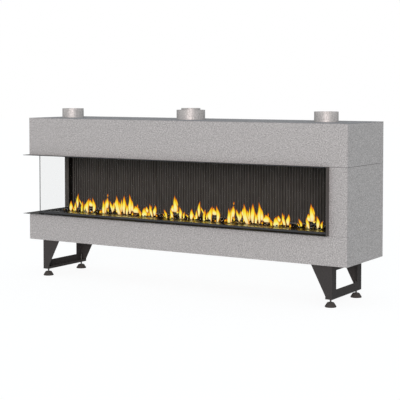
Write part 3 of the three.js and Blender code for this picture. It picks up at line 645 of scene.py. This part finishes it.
@dataclass(frozen=True)
class TumbledGlassStone(MottledFinish):
    """Black tumbled slag-glass stones: glossy facets with a few painted glints.

    Args:
        glint_gap_mm: How far apart the painted glints lie.
        glint_reach: How far a painted glint reaches, as a share of that.
        glint_colour: A painted glint's colour.
    """

    dark: str = "#040404"
    light: str = "#151413"
    spot_mm: float = 24.0
    reach: float = 0.2
    detail: float = 1.0
    glint_gap_mm: float = 33.0
    glint_reach: float = 0.13
    glint_colour: str = "#d8d4cc"

    def dress(self, nodes: Nodes) -> None:
        """Varies stone from stone and adds the painted glints."""
        super().dress(nodes)
        # Painted highlights: small near-white spots stand in for glints on the stones' facets.
        away = nodes.cells(self.glint_gap_mm).outputs["Distance"]
        painted_glints = nodes.compare("LESS_THAN", away, self.glint_reach)
        nodes.overlay(painted_glints, self.glint_colour)


@dataclass(frozen=True)
class FireGlass(Finish):
    """Clear ceramic fire glass: colourless, with a dull ground edge.

    Args:
        along: The axis across the ground edge, 0 for X and 1 for Y.
        edge_to: Place on that axis, in millimetres, up to which the edge is ground.
        edge: The ground edge's colour.
        index: Its index of refraction, low because so thin a pane bends nearly nothing.
    """

    along: int = 0
    edge_to: float = 55.0
    edge: str = "#777777"
    index: float = 1.03

    def dress(self, nodes: Nodes) -> None:
        """Makes the pane clear and its free edge dull."""
        nodes.shader.inputs["IOR"].default_value = self.index
        limit = at(self.edge_to, self.edge_to, 0)[self.along]
        ground = nodes.compare("LESS_THAN", nodes.axes().outputs[self.along], limit)
        clear = nodes.add("ShaderNodeMath", {0: 1.0}, {1: ground}, operation="SUBTRACT")
        nodes.feed("Transmission Weight", clear.outputs[0])
        nodes.overlay(ground, self.edge)


@dataclass(frozen=True)
class BurningGas(Finish):
    """Burning gas: a bright yellow core, orange edges and a thin red tip.

    Args:
        mirrored: How much stronger the gas is in gloss, for it is brighter than white.
        by_height: Its colours from foot to tip.
        by_edge: What its colours are multiplied by from middle to edge.
        thin_from: The share of its height from which it thins out.
        tip_alpha: How much of it is left at its tip.
    """

    mirrored: float = 7.0
    by_height: Stops = (
        (0.0, "#f0c07c"), (0.08, "#fdeab0"), (0.3, "#fff9a6"), (0.5, "#fff25c"),
        (0.66, "#ffdc2e"), (0.8, "#f5a224"), (0.92, "#cd6c19"), (1.0, "#8a3c10"),
    )
    by_edge: Stops = ((0.5, "#ffffff"), (0.74, "#ffe88c"), (0.92, "#f5a33a"), (1.0, "#b4550f"))
    thin_from: float = 0.8
    tip_alpha: float = 0.35

    def dress(self, nodes: Nodes) -> None:
        """Colours the gas by its own map, which runs outwards and upwards."""
        own = nodes.add("ShaderNodeUVMap", uv_map="gas")
        axes = nodes.add("ShaderNodeSeparateXYZ", links={0: own.outputs[0]})
        out, up = axes.outputs["X"], axes.outputs["Y"]
        rise = nodes.add("ShaderNodeValToRGB", links={0: up}, stops=self.by_height)
        edge = nodes.add("ShaderNodeValToRGB", links={0: out}, stops=self.by_edge)
        glow = nodes.product(rise.outputs[0], edge.outputs[0])
        nodes.feed("Emission Color", glow)
        gloss = nodes.add("ShaderNodeLightPath").outputs["Is Reflection Ray"]
        ends = {1: self.mirrored, 2: 1.0}
        power = nodes.add("ShaderNodeMath", ends, {0: gloss}, operation="MULTIPLY_ADD")
        nodes.feed("Emission Strength", power.outputs[0])
        thin = nodes.remap(up, from_min=self.thin_from, to_min=1.0, to_max=self.tip_alpha)
        nodes.feed("Alpha", thin)


WELD_MARKS = (
    (190, 750), (352, 750), (37, 496), (186, 498), (354, 497),
    (37, 302), (186, 304), (354, 302), (192, 65), (355, 68),
)

# Each finish: its name, colour, roughness, share of bare metal, sheen and edge tint.
# Galvanised sheet: the zinc coat's crystals give the eye a fine light and dark speckle.
ZINC_SHEET = GalvanisedSheet(
    "Hot_dip_galvanised_steel", "#b2afae", 0.62, 0.35, 0.01, 0.5, welds=WELD_MARKS
)
# The same sheet on the lying top plate, painted darker as painted shade on its top face, and a little
# rougher.
SHADED_TOP_SHEET = GalvanisedSheet(
    "Galvanised_steel_painted_top_shade", "#9d9c9e", 0.66, 0.3, 0.01, 0.5, dark="#7c7b7d", light="#b9b8ba"
)
# Drawn zinc-coated tube: brighter than the sheet, with a soft upright highlight.
ZINC_TUBE = DrawnCollar("Drawn_zinc_coated_tube", "#bebcbc", 0.48, 0.44, 0.02, 0.22)
# Powder-coated frame steel: a matt black with a slightly warm grey sheen.
BLACK_FRAME = PowderCoat(
    "Matt_powder_coated_steel", "#4b4847", 0.6, 0.0, 0.01, dark="#474443", light="#504d4c"
)
# The same coat painted lighter, as painted light from the pale casing beside it.
LIT_JAMB_COAT = PowderCoat(
    "Powder_coated_jamb_steel", "#625d5a", 0.6, 0.0, 0.01, dark="#5e5956", light="#66615e"
)
# The same coat on the corner post, painted lighter as painted light, with painted shade in near black on
# its return into the fire.
LIT_AND_SHADED_POST = PowderCoat(
    "Powder_coated_post_steel", "#555250", 0.6, 0.0, 0.1, dark="#504d4a", light="#5a5754",
    shade_past=82.0,
)
# Powder coat on the flange frame: a grey sheen on its upright faces, with painted shade on the faces that
# look up.
BLACK_TRIM = PowderCoat(
    "Satin_powder_coated_trim", "#525456", 0.45, 0.0, 0.012, dark="#4e5052", light="#57595b",
    lying="#2b2825",
)
# Stove paint inside the firebox: soot black, with nearly no sheen.
SOOTED_STEEL = PowderCoat(
    "Sooted_stove_paint", "#141312", 0.8, 0.0, 0.05, dark="#100f0e", light="#1a1817"
)
# Rubber-faced foot plates: a dull moulded black.
FOOT_RUBBER = PowderCoat(
    "Moulded_foot_rubber", "#504b48", 0.6, 0.0, 0.05, dark="#4a4542", light="#57524f"
)
RIBBED_LINER = BakedLiner("Baked_liner_paint", "#5c5955", 0.8, 0.0, 0.03)
DECK_ENAMEL = GlossEnamel("Black_stove_enamel", "#181817", 0.4, 0.0, 0.012)
# Crushed glass between deck and flames: fine black grains that glint with the fire.
CRUSHED_GLASS = GlossEnamel(
    "Crushed_black_glass", "#181817", 0.42, 0.0, 0.015, spot_mm=9.0, bump=0.5
)
# The side deck's enamel has dulled: less wavy, and a faint grey sheen.
SIDE_ENAMEL = GlossEnamel("Dulled_black_stove_enamel", "#1c1c1b", 0.5, 0.0, 0.005, bump=0.2)
FRONT_GLASS = FireGlass("Ceramic_fire_glass_front", "#f8f8f8", 0.0, 0.0, 0.5, along=0)
LEFT_GLASS = FireGlass("Ceramic_fire_glass_left", "#f8f8f8", 0.0, 0.0, 0.5, along=1)
FIRE_STONES = TumbledGlassStone("Tumbled_black_slag_glass", "#101010", 0.14, 0.0, 0.5)
BARE_STEEL = TurnedMetal("Bright_drawn_steel", "#a0a09e", 0.35, 0.9, 0.2, 0.8)
# Blackened screw steel: dark in the thread's roots, dull grey on its crests.
SCREW_STEEL = TurnedMetal(
    "Blackened_screw_steel", "#6a6866", 0.45, 0.8, 0.2, 0.8, dark="#5a5856", light="#7a7876"
)
BRASS = TurnedMetal(
    "Machined_brass", "#b8954e", 0.3, 0.95, 0.2, 0.8, dark="#a07f3c", light="#cbaa62"
)
CAST_ALLOY = TurnedMetal(
    "Cast_aluminium_alloy", "#8f9092", 0.55, 0.8, 0.2, 0.7, dark="#7d7e80", light="#a3a4a6"
)
BLACK_NYLON = TurnedMetal(
    "Moulded_black_nylon", "#1a1a1b", 0.5, 0.0, 0.4, dark="#161617", light="#202021"
)
ALUMINA = TurnedMetal(
    "Glazed_alumina_ceramic", "#e8e4da", 0.25, 0.0, 0.5, dark="#dcd8ce", light="#f1ede3"
)
GAS_FLAME = BurningGas("Burning_gas", "#000000", 1.0, 0.0, 0.0, own_light=True)

CORNERS = ("front_left", "rear_left", "front_right", "rear_right")

CAD_FINISHES: dict[Finish, tuple[str, ...]] = {
    ZINC_SHEET: (
        "base_plate", "lower_front_panel", "lower_left_panel", "lower_right_panel",
        "rear_panel", "right_corner_panel", "upper_front_panel", "upper_left_panel",
        "upper_right_panel", "air_box",
    ),
    SHADED_TOP_SHEET: ("top_plate",),
    ZINC_TUBE: (
        "left_duct_collar", "right_duct_collar", "flue_outer_collar", "flue_inner_collar",
    ),
    BLACK_TRIM: (
        "top_flange_front", "top_flange_left", "bottom_flange_front", "bottom_flange_left",
    ),
    LIT_AND_SHADED_POST: ("rear_left_post",),
    BLACK_FRAME: ("left_leg_frame", "right_leg_frame"),
    LIT_JAMB_COAT: ("right_flange_jamb",),
    SOOTED_STEEL: (
        "firebox_shell", "firebox_roof", "relief_flap_left", "relief_flap_right",
        "baffle_plate", "burner_tray",
    ),
    FOOT_RUBBER: tuple(f"foot_pad_{corner}" for corner in CORNERS),
    RIBBED_LINER: ("back_liner_left", "back_liner_centre", "back_liner_right"),
    DECK_ENAMEL: ("deck_front", "deck_right"),
    SIDE_ENAMEL: ("deck_left", "deck_rear"),
    FRONT_GLASS: ("front_glass",),
    LEFT_GLASS: ("left_glass",),
    FIRE_STONES: ("stone_bed",),
    BARE_STEEL: (
        "burner_tube_left", "burner_tube_right", "pilot_burner", "flame_sensor",
        "supply_pipe", "tap_lever", *(f"foot_spindle_{corner}" for corner in CORNERS),
    ),
    BRASS: ("gas_manifold", "tap_body"),
    CAST_ALLOY: ("gas_valve",),
    BLACK_NYLON: ("control_knob", "receiver_box"),
    ALUMINA: ("ignition_electrode",),
}


def hand_over(
    piece: Piece,
    body: Body,
    finish: Finish,
    stands_for: tuple[str, ...] = (),
) -> None:
    """Finishes a new piece: its place, its finish, what it rides on and stands for.

    Args:
        piece: The modelled piece.
        body: The body it moves with.
        finish: Its finish.
        stands_for: The CAD nodes that it replaces.
    """
    settle(piece)
    finish.put_on(piece)
    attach(piece, body.value)
    if stands_for:
        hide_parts(*stands_for)
    log.info("%s: %d faces, rides on %s", piece.name, len(piece.data.polygons), body.value)


@dataclass
class Viewpoint:
    """The camera at the photograph's angle: far off to the right, looking down a little.

    Args:
        place: Where it stands, in metres in the row frame.
        lens: Its focal length in millimetres.
        sensor: Its sensor's width in millimetres.
        turn: How far it turns to the left, in degrees.
        dip: How far it looks down, in degrees.
        shift: How far the picture is shifted up, as a share of its width.
        reach: The nearest and the farthest that it sees, in metres.
    """

    place: Triple = (4.0930, -6.4758, 1.3528)
    lens: float = 101.505
    sensor: float = 36.0
    turn: float = 31.95
    dip: float = 2.5028
    shift: float = -0.16
    reach: tuple[float, float] = (0.1, 200.0)

    def build(self) -> None:
        """Sets up the scene's camera."""
        data = bpy.data.cameras.new("viewpoint")
        data.lens, data.sensor_width, data.shift_y = self.lens, self.sensor, self.shift
        data.clip_start, data.clip_end = self.reach
        camera = bpy.data.objects.new("viewpoint", data)
        camera.location = self.place
        camera.rotation_euler = (math.radians(90 - self.dip), 0, math.radians(self.turn))
        bpy.context.scene.collection.objects.link(camera)
        bpy.context.scene.camera = camera


@dataclass
class Studio:
    """A plain pale room: even light, one soft lamp from the front, a white floor.

    Args:
        room_light: The colour and level of the room's even light.
        lamp_level: The lamp's share of a front face's light.
        lamp_colour: The lamp's colour.
        lamp_from: The direction that the lamp shines from.
        lamp_spread: How wide the lamp looks, in degrees.
        floor_size: The floor's length and width in metres.
        floor_glow: How much of the floor's white is its own.
        floor_film: How much light the seen floor sends back, which keeps its shadow.
        floor_pale: How much light the floor sends back to other things.
    """

    room_light: Triple = (0.387, 0.445, 0.472)
    lamp_level: float = 0.655
    lamp_colour: Triple = (1.0, 0.9, 0.88)
    lamp_from: Triple = (0.42, -0.9, 0.12)
    lamp_spread: float = 36.0
    floor_size: float = 60.0
    floor_glow: float = 0.9
    floor_film: float = 0.2
    floor_pale: float = 0.8

    def build(self) -> None:
        """Makes the room, the lamp and the floor."""
        scene = bpy.context.scene
        scene.view_settings.view_transform = "Standard"
        self._room(scene)
        self._lamp()
        self._floor()

    def _room(self, scene: bpy.types.Scene) -> None:
        """Makes the world: white where it is seen or mirrored, plain where it lights.

        Args:
            scene: The scene whose world it is.
        """
        scene.world = scene.world or bpy.data.worlds.new("room")
        nodes = Nodes.of(scene.world)
        even = nodes.add("ShaderNodeBackground", {"Color": (*self.room_light, 1.0)})
        white = nodes.add("ShaderNodeBackground", {"Color": grey(1.0)})
        both = nodes.seen_or_lighting(even, white)
        nodes.add("ShaderNodeOutputWorld", links={"Surface": both})

    def _lamp(self) -> None:
        """Hangs the one large soft lamp."""
        data = bpy.data.lights.new("soft_lamp", "SUN")
        data.energy = self.lamp_level * math.pi
        data.color = self.lamp_colour
        data.angle = math.radians(self.lamp_spread)
        lamp = bpy.data.objects.new("soft_lamp", data)
        towards = -Vector(self.lamp_from)
        lamp.rotation_euler = towards.to_track_quat("-Z", "Y").to_euler()
        bpy.context.scene.collection.objects.link(lamp)

    def _floor(self) -> None:
        """Lays the floor, which is white to the eye and keeps the soft shadow."""
        select_only()
        bpy.ops.mesh.primitive_plane_add(size=self.floor_size)
        floor = named("studio_floor")
        paint = bpy.data.materials.new("Matt_white_floor_paint")
        nodes = Nodes.of(paint)
        pale = nodes.add("ShaderNodeBsdfDiffuse", {"Color": grey(self.floor_pale)})
        shine = {"Color": grey(1.0), "Strength": self.floor_glow}
        glow = nodes.add("ShaderNodeEmission", shine)
        film = nodes.add("ShaderNodeBsdfDiffuse", {"Color": grey(self.floor_film)})
        lit = nodes.add("ShaderNodeAddShader", links={0: glow.outputs[0], 1: film.outputs[0]})
        both = nodes.seen_or_lighting(pale, lit)
        nodes.add("ShaderNodeOutputMaterial", links={"Surface": both})
        floor.data.materials.append(paint)


@dataclass(frozen=True)
class Tongue:
    """One tongue of flame, in millimetres.

    Args:
        foot: X of its foot.
        tip: X of its tip.
        start: Z of its foot.
        height: Z of its tip.
        width: Its greatest width.
        depth: Y of its middle.
        bow: How far its middle stands out sideways halfway up.
        belly: The share of its height at which it is widest.
        root: The share of its width that its foot has.
        cool: How far along its colours its foot already is.
        sway: How far it winds to and fro, as a share of its width.
        half_share: Half its drawn width, as a share of its width.
        taper: How fast it narrows to its tip, 1 being evenly.
        least: The least half of its width.
    """

    foot: float
    tip: float
    start: float
    height: float
    width: float
    depth: float
    bow: float = 0.0
    belly: float = 0.5
    root: float = 0.5
    cool: float = 0.0
    sway: float = 0.1
    half_share: float = 0.57
    taper: float = 0.9
    least: float = 0.4

    def middle(self, share: float) -> float:
        """Gives X of the middle at a share of the height."""
        wave = math.sin(math.pi * share) * math.sin(2 * math.pi * share + self.foot)
        bow = self.bow * math.sin(math.pi * share)
        straight = self.foot + (self.tip - self.foot) * share
        return straight + bow + self.sway * self.width * wave

    def half(self, share: float) -> float:
        """Gives half the width at a share of the height."""
        if share < self.belly:
            rise = math.sin(0.5 * math.pi * share / self.belly)
            swell = self.root + (1 - self.root) * rise
        else:
            swell = ((1 - share) / (1 - self.belly)) ** self.taper
        return max(self.least, self.half_share * self.width * swell)


# Each tongue: foot, tip, start, height, width, depth, bow, belly, root and cool.
TONGUE_SIZES = (
    (232, 237, 200, 274, 28, 180, 0, 0.38, 0.4), (262, 259, 202, 231, 16, 178, 0, 0.5, 0.5, 0.5),
    (274, 272, 190, 270, 18, 182, -2, 0.42, 0.4), (290, 298, 224, 330, 20, 184, -2, 0.42, 0.35),
    (326, 300, 242, 294, 10, 188, -2, 0.5, 0.5, 0.3), (329, 339, 193, 278, 17, 180, 2, 0.58, 0.5, 0.3),
    (350, 359, 206, 262, 14, 186, -1, 0.55, 0.35, 0.3), (387, 402, 197, 301, 30, 178, -13, 0.5, 0.42),
    (371, 382, 236, 267, 17, 184, 0, 0.4, 0.5, 0.3), (439, 428, 192, 307, 24, 178, 10, 0.5, 0.4),
    (415, 403, 240, 290, 40, 186, 0, 0.25, 0.6), (422, 425, 193, 210, 10, 176, 0, 0.5, 0.6, 0.5),
    (496, 508, 190, 223, 15, 180, -3, 0.55, 0.45, 0.5), (514, 507, 201, 221, 10, 184, 2, 0.5, 0.5, 0.5),
    (532, 526, 186, 296, 24, 178, -1, 0.42, 0.42), (540, 541, 202, 300, 17, 184, 2, 0.45, 0.4),
    (558, 562, 236, 315, 24, 182, -2, 0.45, 0.6), (562, 563, 317, 340, 9, 182, 0, 0.5, 0.5, 0.76),
    (561, 560, 210, 243, 11, 188, 0, 0.5, 0.5, 0.5), (604, 578, 209, 293, 19, 180, 5, 0.5, 0.3),
    (603, 615, 209, 284, 18, 182, 5, 0.55, 0.3), (669, 640, 198, 332, 35, 178, -5, 0.3, 0.62),
    (631, 629, 248, 302, 19, 186, 0, 0.4, 0.6), (635, 636, 210, 231, 9, 186, 0, 0.5, 0.5, 0.5),
    (675, 660, 214, 292, 18, 182, 2, 0.45, 0.5), (680, 680, 217, 312, 14, 186, 0, 0.4, 0.5),
    (708, 709, 205, 337, 28, 178, -2, 0.5, 0.35), (727, 724, 197, 280, 19, 182, 4, 0.5, 0.45),
    (740, 741, 229, 282, 13, 186, 0, 0.5, 0.5, 0.3), (756, 748, 210, 346, 21, 184, 5, 0.5, 0.3),
    (757, 752, 207, 348, 24, 178, 5, 0.45, 0.35), (776, 761, 227, 316, 25, 182, 4, 0.28, 0.6),
    (772, 774, 191, 226, 10, 186, 0, 0.5, 0.5, 0.5), (814, 798, 218, 268, 51, 180, 4, 0.34, 0.75),
    (846, 830, 195, 248, 16, 178, 5, 0.5, 0.45, 0.5), (821, 819, 255, 283, 8, 180, 0, 0.5, 0.5, 0.76),
    (879, 880, 192, 260, 44, 180, 0, 0.35, 0.85), (899, 892, 225, 268, 22, 184, 2, 0.4, 0.6),
    (944, 922, 195, 289, 20, 178, 1, 0.45, 0.5), (913, 921, 197, 244, 14, 184, 0, 0.5, 0.5, 0.5),
    (932, 933, 251, 276, 7, 188, 0, 0.5, 0.5, 0.76), (964, 969, 208, 282, 25, 180, 1, 0.45, 0.45),
    (983, 977, 191, 221, 10, 178, 2, 0.5, 0.5, 0.5), (1061, 1040, 196, 258, 16, 180, 4, 0.6, 0.35, 0.3),
    (1042, 1025, 202, 230, 8, 186, 2, 0.5, 0.4, 0.5), (1138, 1127, 242, 358, 33, 180, 2, 0.25, 0.8),
    (1142, 1138, 257, 339, 17, 184, 2, 0.5, 0.8), (1111, 1109, 243, 292, 35, 186, 0, 0.3, 0.7),
    (1117, 1098, 193, 270, 19, 178, -4, 0.55, 0.5), (1096, 1100, 193, 237, 10, 180, 0, 0.5, 0.6, 0.5),
    (1179, 1168, 199, 284, 22, 178, 4, 0.45, 0.4), (1148, 1147, 233, 257, 17, 186, 0, 0.4, 0.6, 0.3),
    (1202, 1209, 203, 253, 14, 180, -2, 0.45, 0.4, 0.3), (1233, 1210, 212, 237, 13, 184, 4, 0.4, 0.4, 0.5),
)
TONGUES = tuple(Tongue(*sizes) for sizes in TONGUE_SIZES)


@dataclass
class Fire:
    """The flames over the burner: one row of tongues, burnt twice along the bed.

    Args:
        tongues: The tongues over one burner tube.
        repeat: How far the second burner's flames stand from the first's.
        last: X past which no tongue stands.
        sides: How many sides a tongue's tube has.
        rings: How many rings it rises by.
        flatness: A tongue's depth as a share of its width.
    """

    tongues: tuple[Tongue, ...] = TONGUES
    repeat: float = 1031.0
    last: float = 2250.0
    sides: int = 10
    rings: int = 12
    flatness: float = 0.5

    def build(self) -> None:
        """Models each tongue and copies it for the second burner."""
        move = Matrix.Translation((self.repeat * MM, 0, 0))
        for index, tongue in enumerate(self.tongues):
            pair = [self._tongue(tongue, f"flame_left_{index:02d}")]
            if tongue.foot + self.repeat < self.last:
                pair.append(copy_of(pair[0], f"flame_right_{index:02d}", move))
            for flame in pair:
                hand_over(flame, Body.CASING, GAS_FLAME)
            let_light_through(*pair)

    def _tongue(self, tongue: Tongue, name: str) -> Piece:
        """Models one tongue: a ring drawn up, widened and closed at its tip.

        Args:
            tongue: The tongue's sizes.
            name: The piece's name.

        Returns:
            The tongue with its own map of edge and height.
        """
        rise = tongue.height - tongue.start
        middle, half = tongue.middle(0.0), tongue.half(0.0)
        select_only()
        bpy.ops.mesh.primitive_circle_add(
            vertices=self.sides,
            radius=half * MM,
            fill_type="NGON",
            location=at(middle, tongue.depth, tongue.start),
        )
        flame = named(name)
        flame.scale = (1, self.flatness, 1)
        apply_place()
        levels = [(tongue.start, middle, half)]
        with editing(flame):
            for ring in range(1, self.rings + 1):
                share = ring / self.rings
                after, wide = tongue.middle(share), tongue.half(share)
                step = Vector((after - middle, 0, rise / self.rings)) * MM
                bpy.ops.mesh.extrude_region_move(TRANSFORM_OT_translate={"value": step})
                height = tongue.start + rise * share
                bpy.ops.transform.resize(
                    value=(wide / half, wide / half, 1),
                    center_override=at(after, tongue.depth, height),
                )
                middle, half = after, wide
                levels.append((height, middle, half))
        own = flame.data.uv_layers.new(name="gas")
        for loop in flame.data.loops:
            place = flame.data.vertices[loop.vertex_index].co
            up = (place.z / MM) - CASING_CORNER[2]
            _, middle, half = min(levels, key=lambda row: abs(row[0] - up))
            across = abs(place.x - at(middle, 0, 0).x) / (half * MM)
            share = (up - tongue.start) / rise
            warmth = tongue.cool + (1 - tongue.cool) * share
            own.data[loop.index].uv = (min(1.0, across), warmth)
        return flame


@dataclass
class StoneBed:
    """Loose black stones over the burner, heaped in the tray.

    Args:
        low: The lowest corner of the heap, in millimetres.
        high: The highest corner of the heap, in millimetres.
        stone: The smallest and the largest stone.
        spacing: How far apart the stones lie.
        block: The size of a stone's block before it is knocked about, 1 being the stone's.
        knock: How far the block's corners are knocked about, likewise.
        chamfer: How much of its edges comes off, likewise.
        proportions: A stone's length, width and height, likewise.
        clearance: How far it keeps from the tray's edge, likewise.
        sunk: How far its middle lies below its top, in clearances.
        first_row: How far in the first row of stones lies, in spacings.
        stray: How far a stone may lie from its place.
        uneven: How far its top may lie below the heap's.
        tilt: How far it may be tipped, in radians.
        shapes: How many different stones are modelled.
        apron: Y up to which only fine crushed glass lies, which also underlies the stones.
        apron_top: Z of the crushed glass.
        apron_grid: How many faces its sheet has along X and Y.
        apron_gap: How much shorter and narrower than the heap it is.
        apron_rough: How far its grains stand up.
        apron_depth: How thick it is.
        seeds: Where the chance of the heap, the stones' shapes and the sheet starts.
    """

    low: Triple = (152.0, 113.0, 192.0)
    high: Triple = (2268.0, 305.0, 214.5)
    stone: tuple[float, float] = (15.0, 25.0)
    spacing: float = 17.5
    block: float = 0.9
    knock: float = 0.2
    chamfer: float = 0.16
    proportions: Triple = (1.0, 0.9, 0.62)
    clearance: float = 0.62
    sunk: float = 0.8
    first_row: float = 0.6
    stray: float = 4.0
    uneven: float = 7.0
    tilt: float = 0.3
    shapes: int = 5
    apron: float = 176.0
    apron_top: float = 199.0
    apron_grid: tuple[int, int] = (150, 14)
    apron_gap: float = 12.0
    apron_rough: float = 2.2
    apron_depth: float = 5.0
    seeds: tuple[int, int, int] = (7, 3, 11)

    def build(self) -> None:
        """Models a few stones, heaps copies of them and lays the chippings under them."""
        masters = [self._stone(index) for index in range(self.shapes)]
        heap = self._heap(masters)
        for master in masters:
            bpy.data.objects.remove(master)
        hand_over(heap, Body.CASING, FIRE_STONES, ("stone_bed",))
        hand_over(self._chippings(), Body.CASING, CRUSHED_GLASS)

    def _stone(self, index: int) -> Piece:
        """Models one stone: a block with its corners knocked about and off.

        Args:
            index: Which of the shapes it is.

        Returns:
            A stone about one unit across, at the origin.
        """
        select_only()
        bpy.ops.mesh.primitive_cube_add(size=self.block)
        stone = named(f"stone_shape_{index}")
        with editing(stone):
            bpy.ops.transform.vertex_random(offset=self.knock, seed=self.seeds[1] + index)
            bpy.ops.mesh.bevel(offset=self.chamfer, segments=1, affect="EDGES")
        return stone

    def _heap(self, masters: list[Piece]) -> Piece:
        """Lays copies of the stones in rows, every other one set off by half a spacing.

        Args:
            masters: The modelled stones.

        Returns:
            All the stones as one piece.
        """
        chance = random.Random(self.seeds[0])
        stones = []
        rows = int((self.high[1] - self.low[1]) / self.spacing)
        columns = int((self.high[0] - self.low[0]) / self.spacing)
        for row in range(rows):
            for column in range(columns):
                size = chance.uniform(*self.stone)
                room = size * self.clearance
                x = self.low[0] + (column + 0.5 * (row % 2) + 0.5) * self.spacing
                y = self.low[1] + (row + self.first_row) * self.spacing
                x += chance.uniform(-self.stray, self.stray)
                y += chance.uniform(-self.stray, self.stray)
                x = min(max(x, self.low[0] + room), self.high[0] - room)
                y = min(max(y, self.low[1] + room), self.high[1] - room)
                top = self.high[2] - chance.uniform(0, self.uneven)
                if y < self.apron:
                    continue
                turn = Matrix.LocRotScale(
                    at(x, y, top - room * self.sunk),
                    self._lie(chance),
                    Vector([size * share for share in self.proportions]) * MM,
                )
                stones.append(copy_of(chance.choice(masters), "stone", turn))
        select_only(stones[0])
        for stone in stones:
            stone.select_set(True)
        bpy.ops.object.join()
        return named("heaped_stones")

    def _lie(self, chance: random.Random) -> Quaternion:
        """Gives a stone its lie: any way round, and tipped a little.

        Args:
            chance: The seeded source of chance.

        Returns:
            The rotation as a quaternion.
        """
        spin = Matrix.Rotation(chance.uniform(0, 2 * math.pi), 4, "Z")
        tip = Matrix.Rotation(chance.uniform(-self.tilt, self.tilt), 4, "X")
        roll = Matrix.Rotation(chance.uniform(-self.tilt, self.tilt), 4, "Y")
        return (spin @ tip @ roll).to_quaternion()

    def _chippings(self) -> Piece:
        """Models the fine chippings that close the gaps between the stones.

        Returns:
            A rough sheet just under the stones' tops.
        """
        low, high = at(*self.low), at(*self.high)
        across, along = self.apron_grid
        select_only()
        bpy.ops.mesh.primitive_grid_add(x_subdivisions=across, y_subdivisions=along, size=1)
        sheet = named("stone_chippings")
        gap = self.apron_gap * MM
        level = at(0, 0, self.apron_top).z
        sheet.location = ((low.x + high.x) / 2, (low.y + high.y) / 2, level)
        sheet.scale = (high.x - low.x - gap, high.y - low.y - gap, 1)
        apply_place()
        with editing(sheet):
            bpy.ops.transform.vertex_random(offset=self.apron_rough * MM, seed=self.seeds[2])
            down = (0, 0, -self.apron_depth * MM)
            bpy.ops.mesh.extrude_region_move(TRANSFORM_OT_translate={"value": down})
        return sheet


@dataclass
class LevellingSpindle:
    """The threaded spindles of the four levelling feet.

    Args:
        radius: The radius over the thread, in millimetres.
        pitch: The thread's pitch.
        depth: The thread's depth.
        steps: How many steps a turn has.
        spare: How many turns more than its length are screwed, to be cut off again.
        merge: How near together points are made one.
        feet: Each foot's body.
    """

    radius: float = 6.0
    pitch: float = 1.75
    depth: float = 1.0
    steps: int = 20
    spare: int = 2
    merge: float = 0.001
    feet: tuple[Body, ...] = tuple(body for body in Body if body is not Body.CASING)

    def build(self) -> None:
        """Threads one spindle and stands a copy in each foot."""
        places = {body: body.value.replace("foot", "foot_spindle") for body in self.feet}
        low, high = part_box(places[self.feet[0]])
        master = self._thread((high.z - low.z) / MM)
        for body, name in places.items():
            low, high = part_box(name)
            foot = ((low.x + high.x) / 2, (low.y + high.y) / 2, low.z)
            spindle = copy_of(master, f"threaded_{name}", Matrix.Translation(foot))
            hand_over(spindle, body, SCREW_STEEL, (name,))
        bpy.data.objects.remove(master)

    def _thread(self, length: float) -> Piece:
        """Screws one V of thread up a spindle and cuts both ends off square.

        The V is half a square that stands on its corner.

        Args:
            length: The spindle's length in millimetres.

        Returns:
            The spindle, standing on the origin.
        """
        select_only()
        bpy.ops.mesh.primitive_plane_add(size=math.sqrt(2) / 2)
        rod = named("spindle_shape")
        with editing(rod):
            pick(rod, "VERT", lambda middle, _: middle.x < 0 < middle.y)
            bpy.ops.mesh.delete(type="VERT")
        rod.rotation_euler = (0, 0, math.radians(45))
        apply_place()
        rod.rotation_euler = (math.radians(90), 0, 0)
        rod.scale = (2 * self.depth * MM, self.pitch * MM, 1)
        rod.location = ((self.radius - self.depth) * MM, 0, -self.pitch * MM)
        apply_place()
        thread = rod.modifiers.new("screw", "SCREW")
        thread.axis = "Z"
        thread.screw_offset = self.pitch * MM
        thread.steps = thread.render_steps = self.steps
        thread.iterations = math.ceil(length / self.pitch) + self.spare
        thread.use_merge_vertices = True
        thread.merge_threshold = self.merge * MM
        select_only(rod)
        bpy.ops.object.modifier_apply(modifier=thread.name)
        with editing(rod):
            for height, below in ((0.0, True), (length, False)):
                bpy.ops.mesh.select_all(action="SELECT")
                bpy.ops.mesh.bisect(
                    plane_co=(0, 0, height * MM),
                    plane_no=(0, 0, 1),
                    use_fill=True,
                    clear_inner=below,
                    clear_outer=not below,
                )
        return rod


@dataclass
class LinerFootStrip:
    """The bright strip on the rear deck that keeps the liner's foot back.

    Args:
        low: Its lowest corner, in millimetres.
        high: Its highest corner, in millimetres.
        rounding: The radius of its front edges.
        segments: How many faces round a front edge.
    """

    low: Triple = (92.0, 346.0, 198.2)
    high: Triple = (2296.0, 376.5, 200.2)
    rounding: float = 0.8
    segments: int = 3

    def build(self) -> None:
        """Cuts the strip and rounds its two long front edges."""
        low, high = at(*self.low), at(*self.high)
        select_only()
        bpy.ops.mesh.primitive_cube_add(size=1, location=(low + high) / 2)
        strip = named("liner_foot_strip")
        strip.scale = high - low
        apply_place()
        with editing(strip):
            pick(strip, "EDGE", lambda middle, way: abs(way.x) > ALONG and middle.y < low.y + MM)
            size = self.rounding * MM
            bpy.ops.mesh.bevel(offset=size, segments=self.segments, affect="EDGES")
        hand_over(strip, Body.CASING, ZINC_SHEET)


def finish_cad(pieces: dict[str, Piece]) -> None:
    """Dresses every CAD node and makes the panes let light through.

    Args:
        pieces: The CAD nodes by name.
    """
    left = set(pieces)
    for finish, names in CAD_FINISHES.items():
        for name in names:
            finish.put_on(pieces[name])
            left.discard(name)
        log.info("%s on %s", finish.label, ", ".join(names))
    let_light_through(pieces["front_glass"], pieces["left_glass"])
    if left:
        log.warning("no finish on %s", ", ".join(sorted(left)))


def main() -> None:
    logging.basicConfig(level=logging.INFO, format="%(message)s")
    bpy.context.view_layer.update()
    Viewpoint().build()
    Studio().build()
    finish_cad(frame["nodes"])
    StoneBed().build()
    LinerFootStrip().build()
    LevellingSpindle().build()
    Fire().build()


if __name__ == "__main__":
    main()
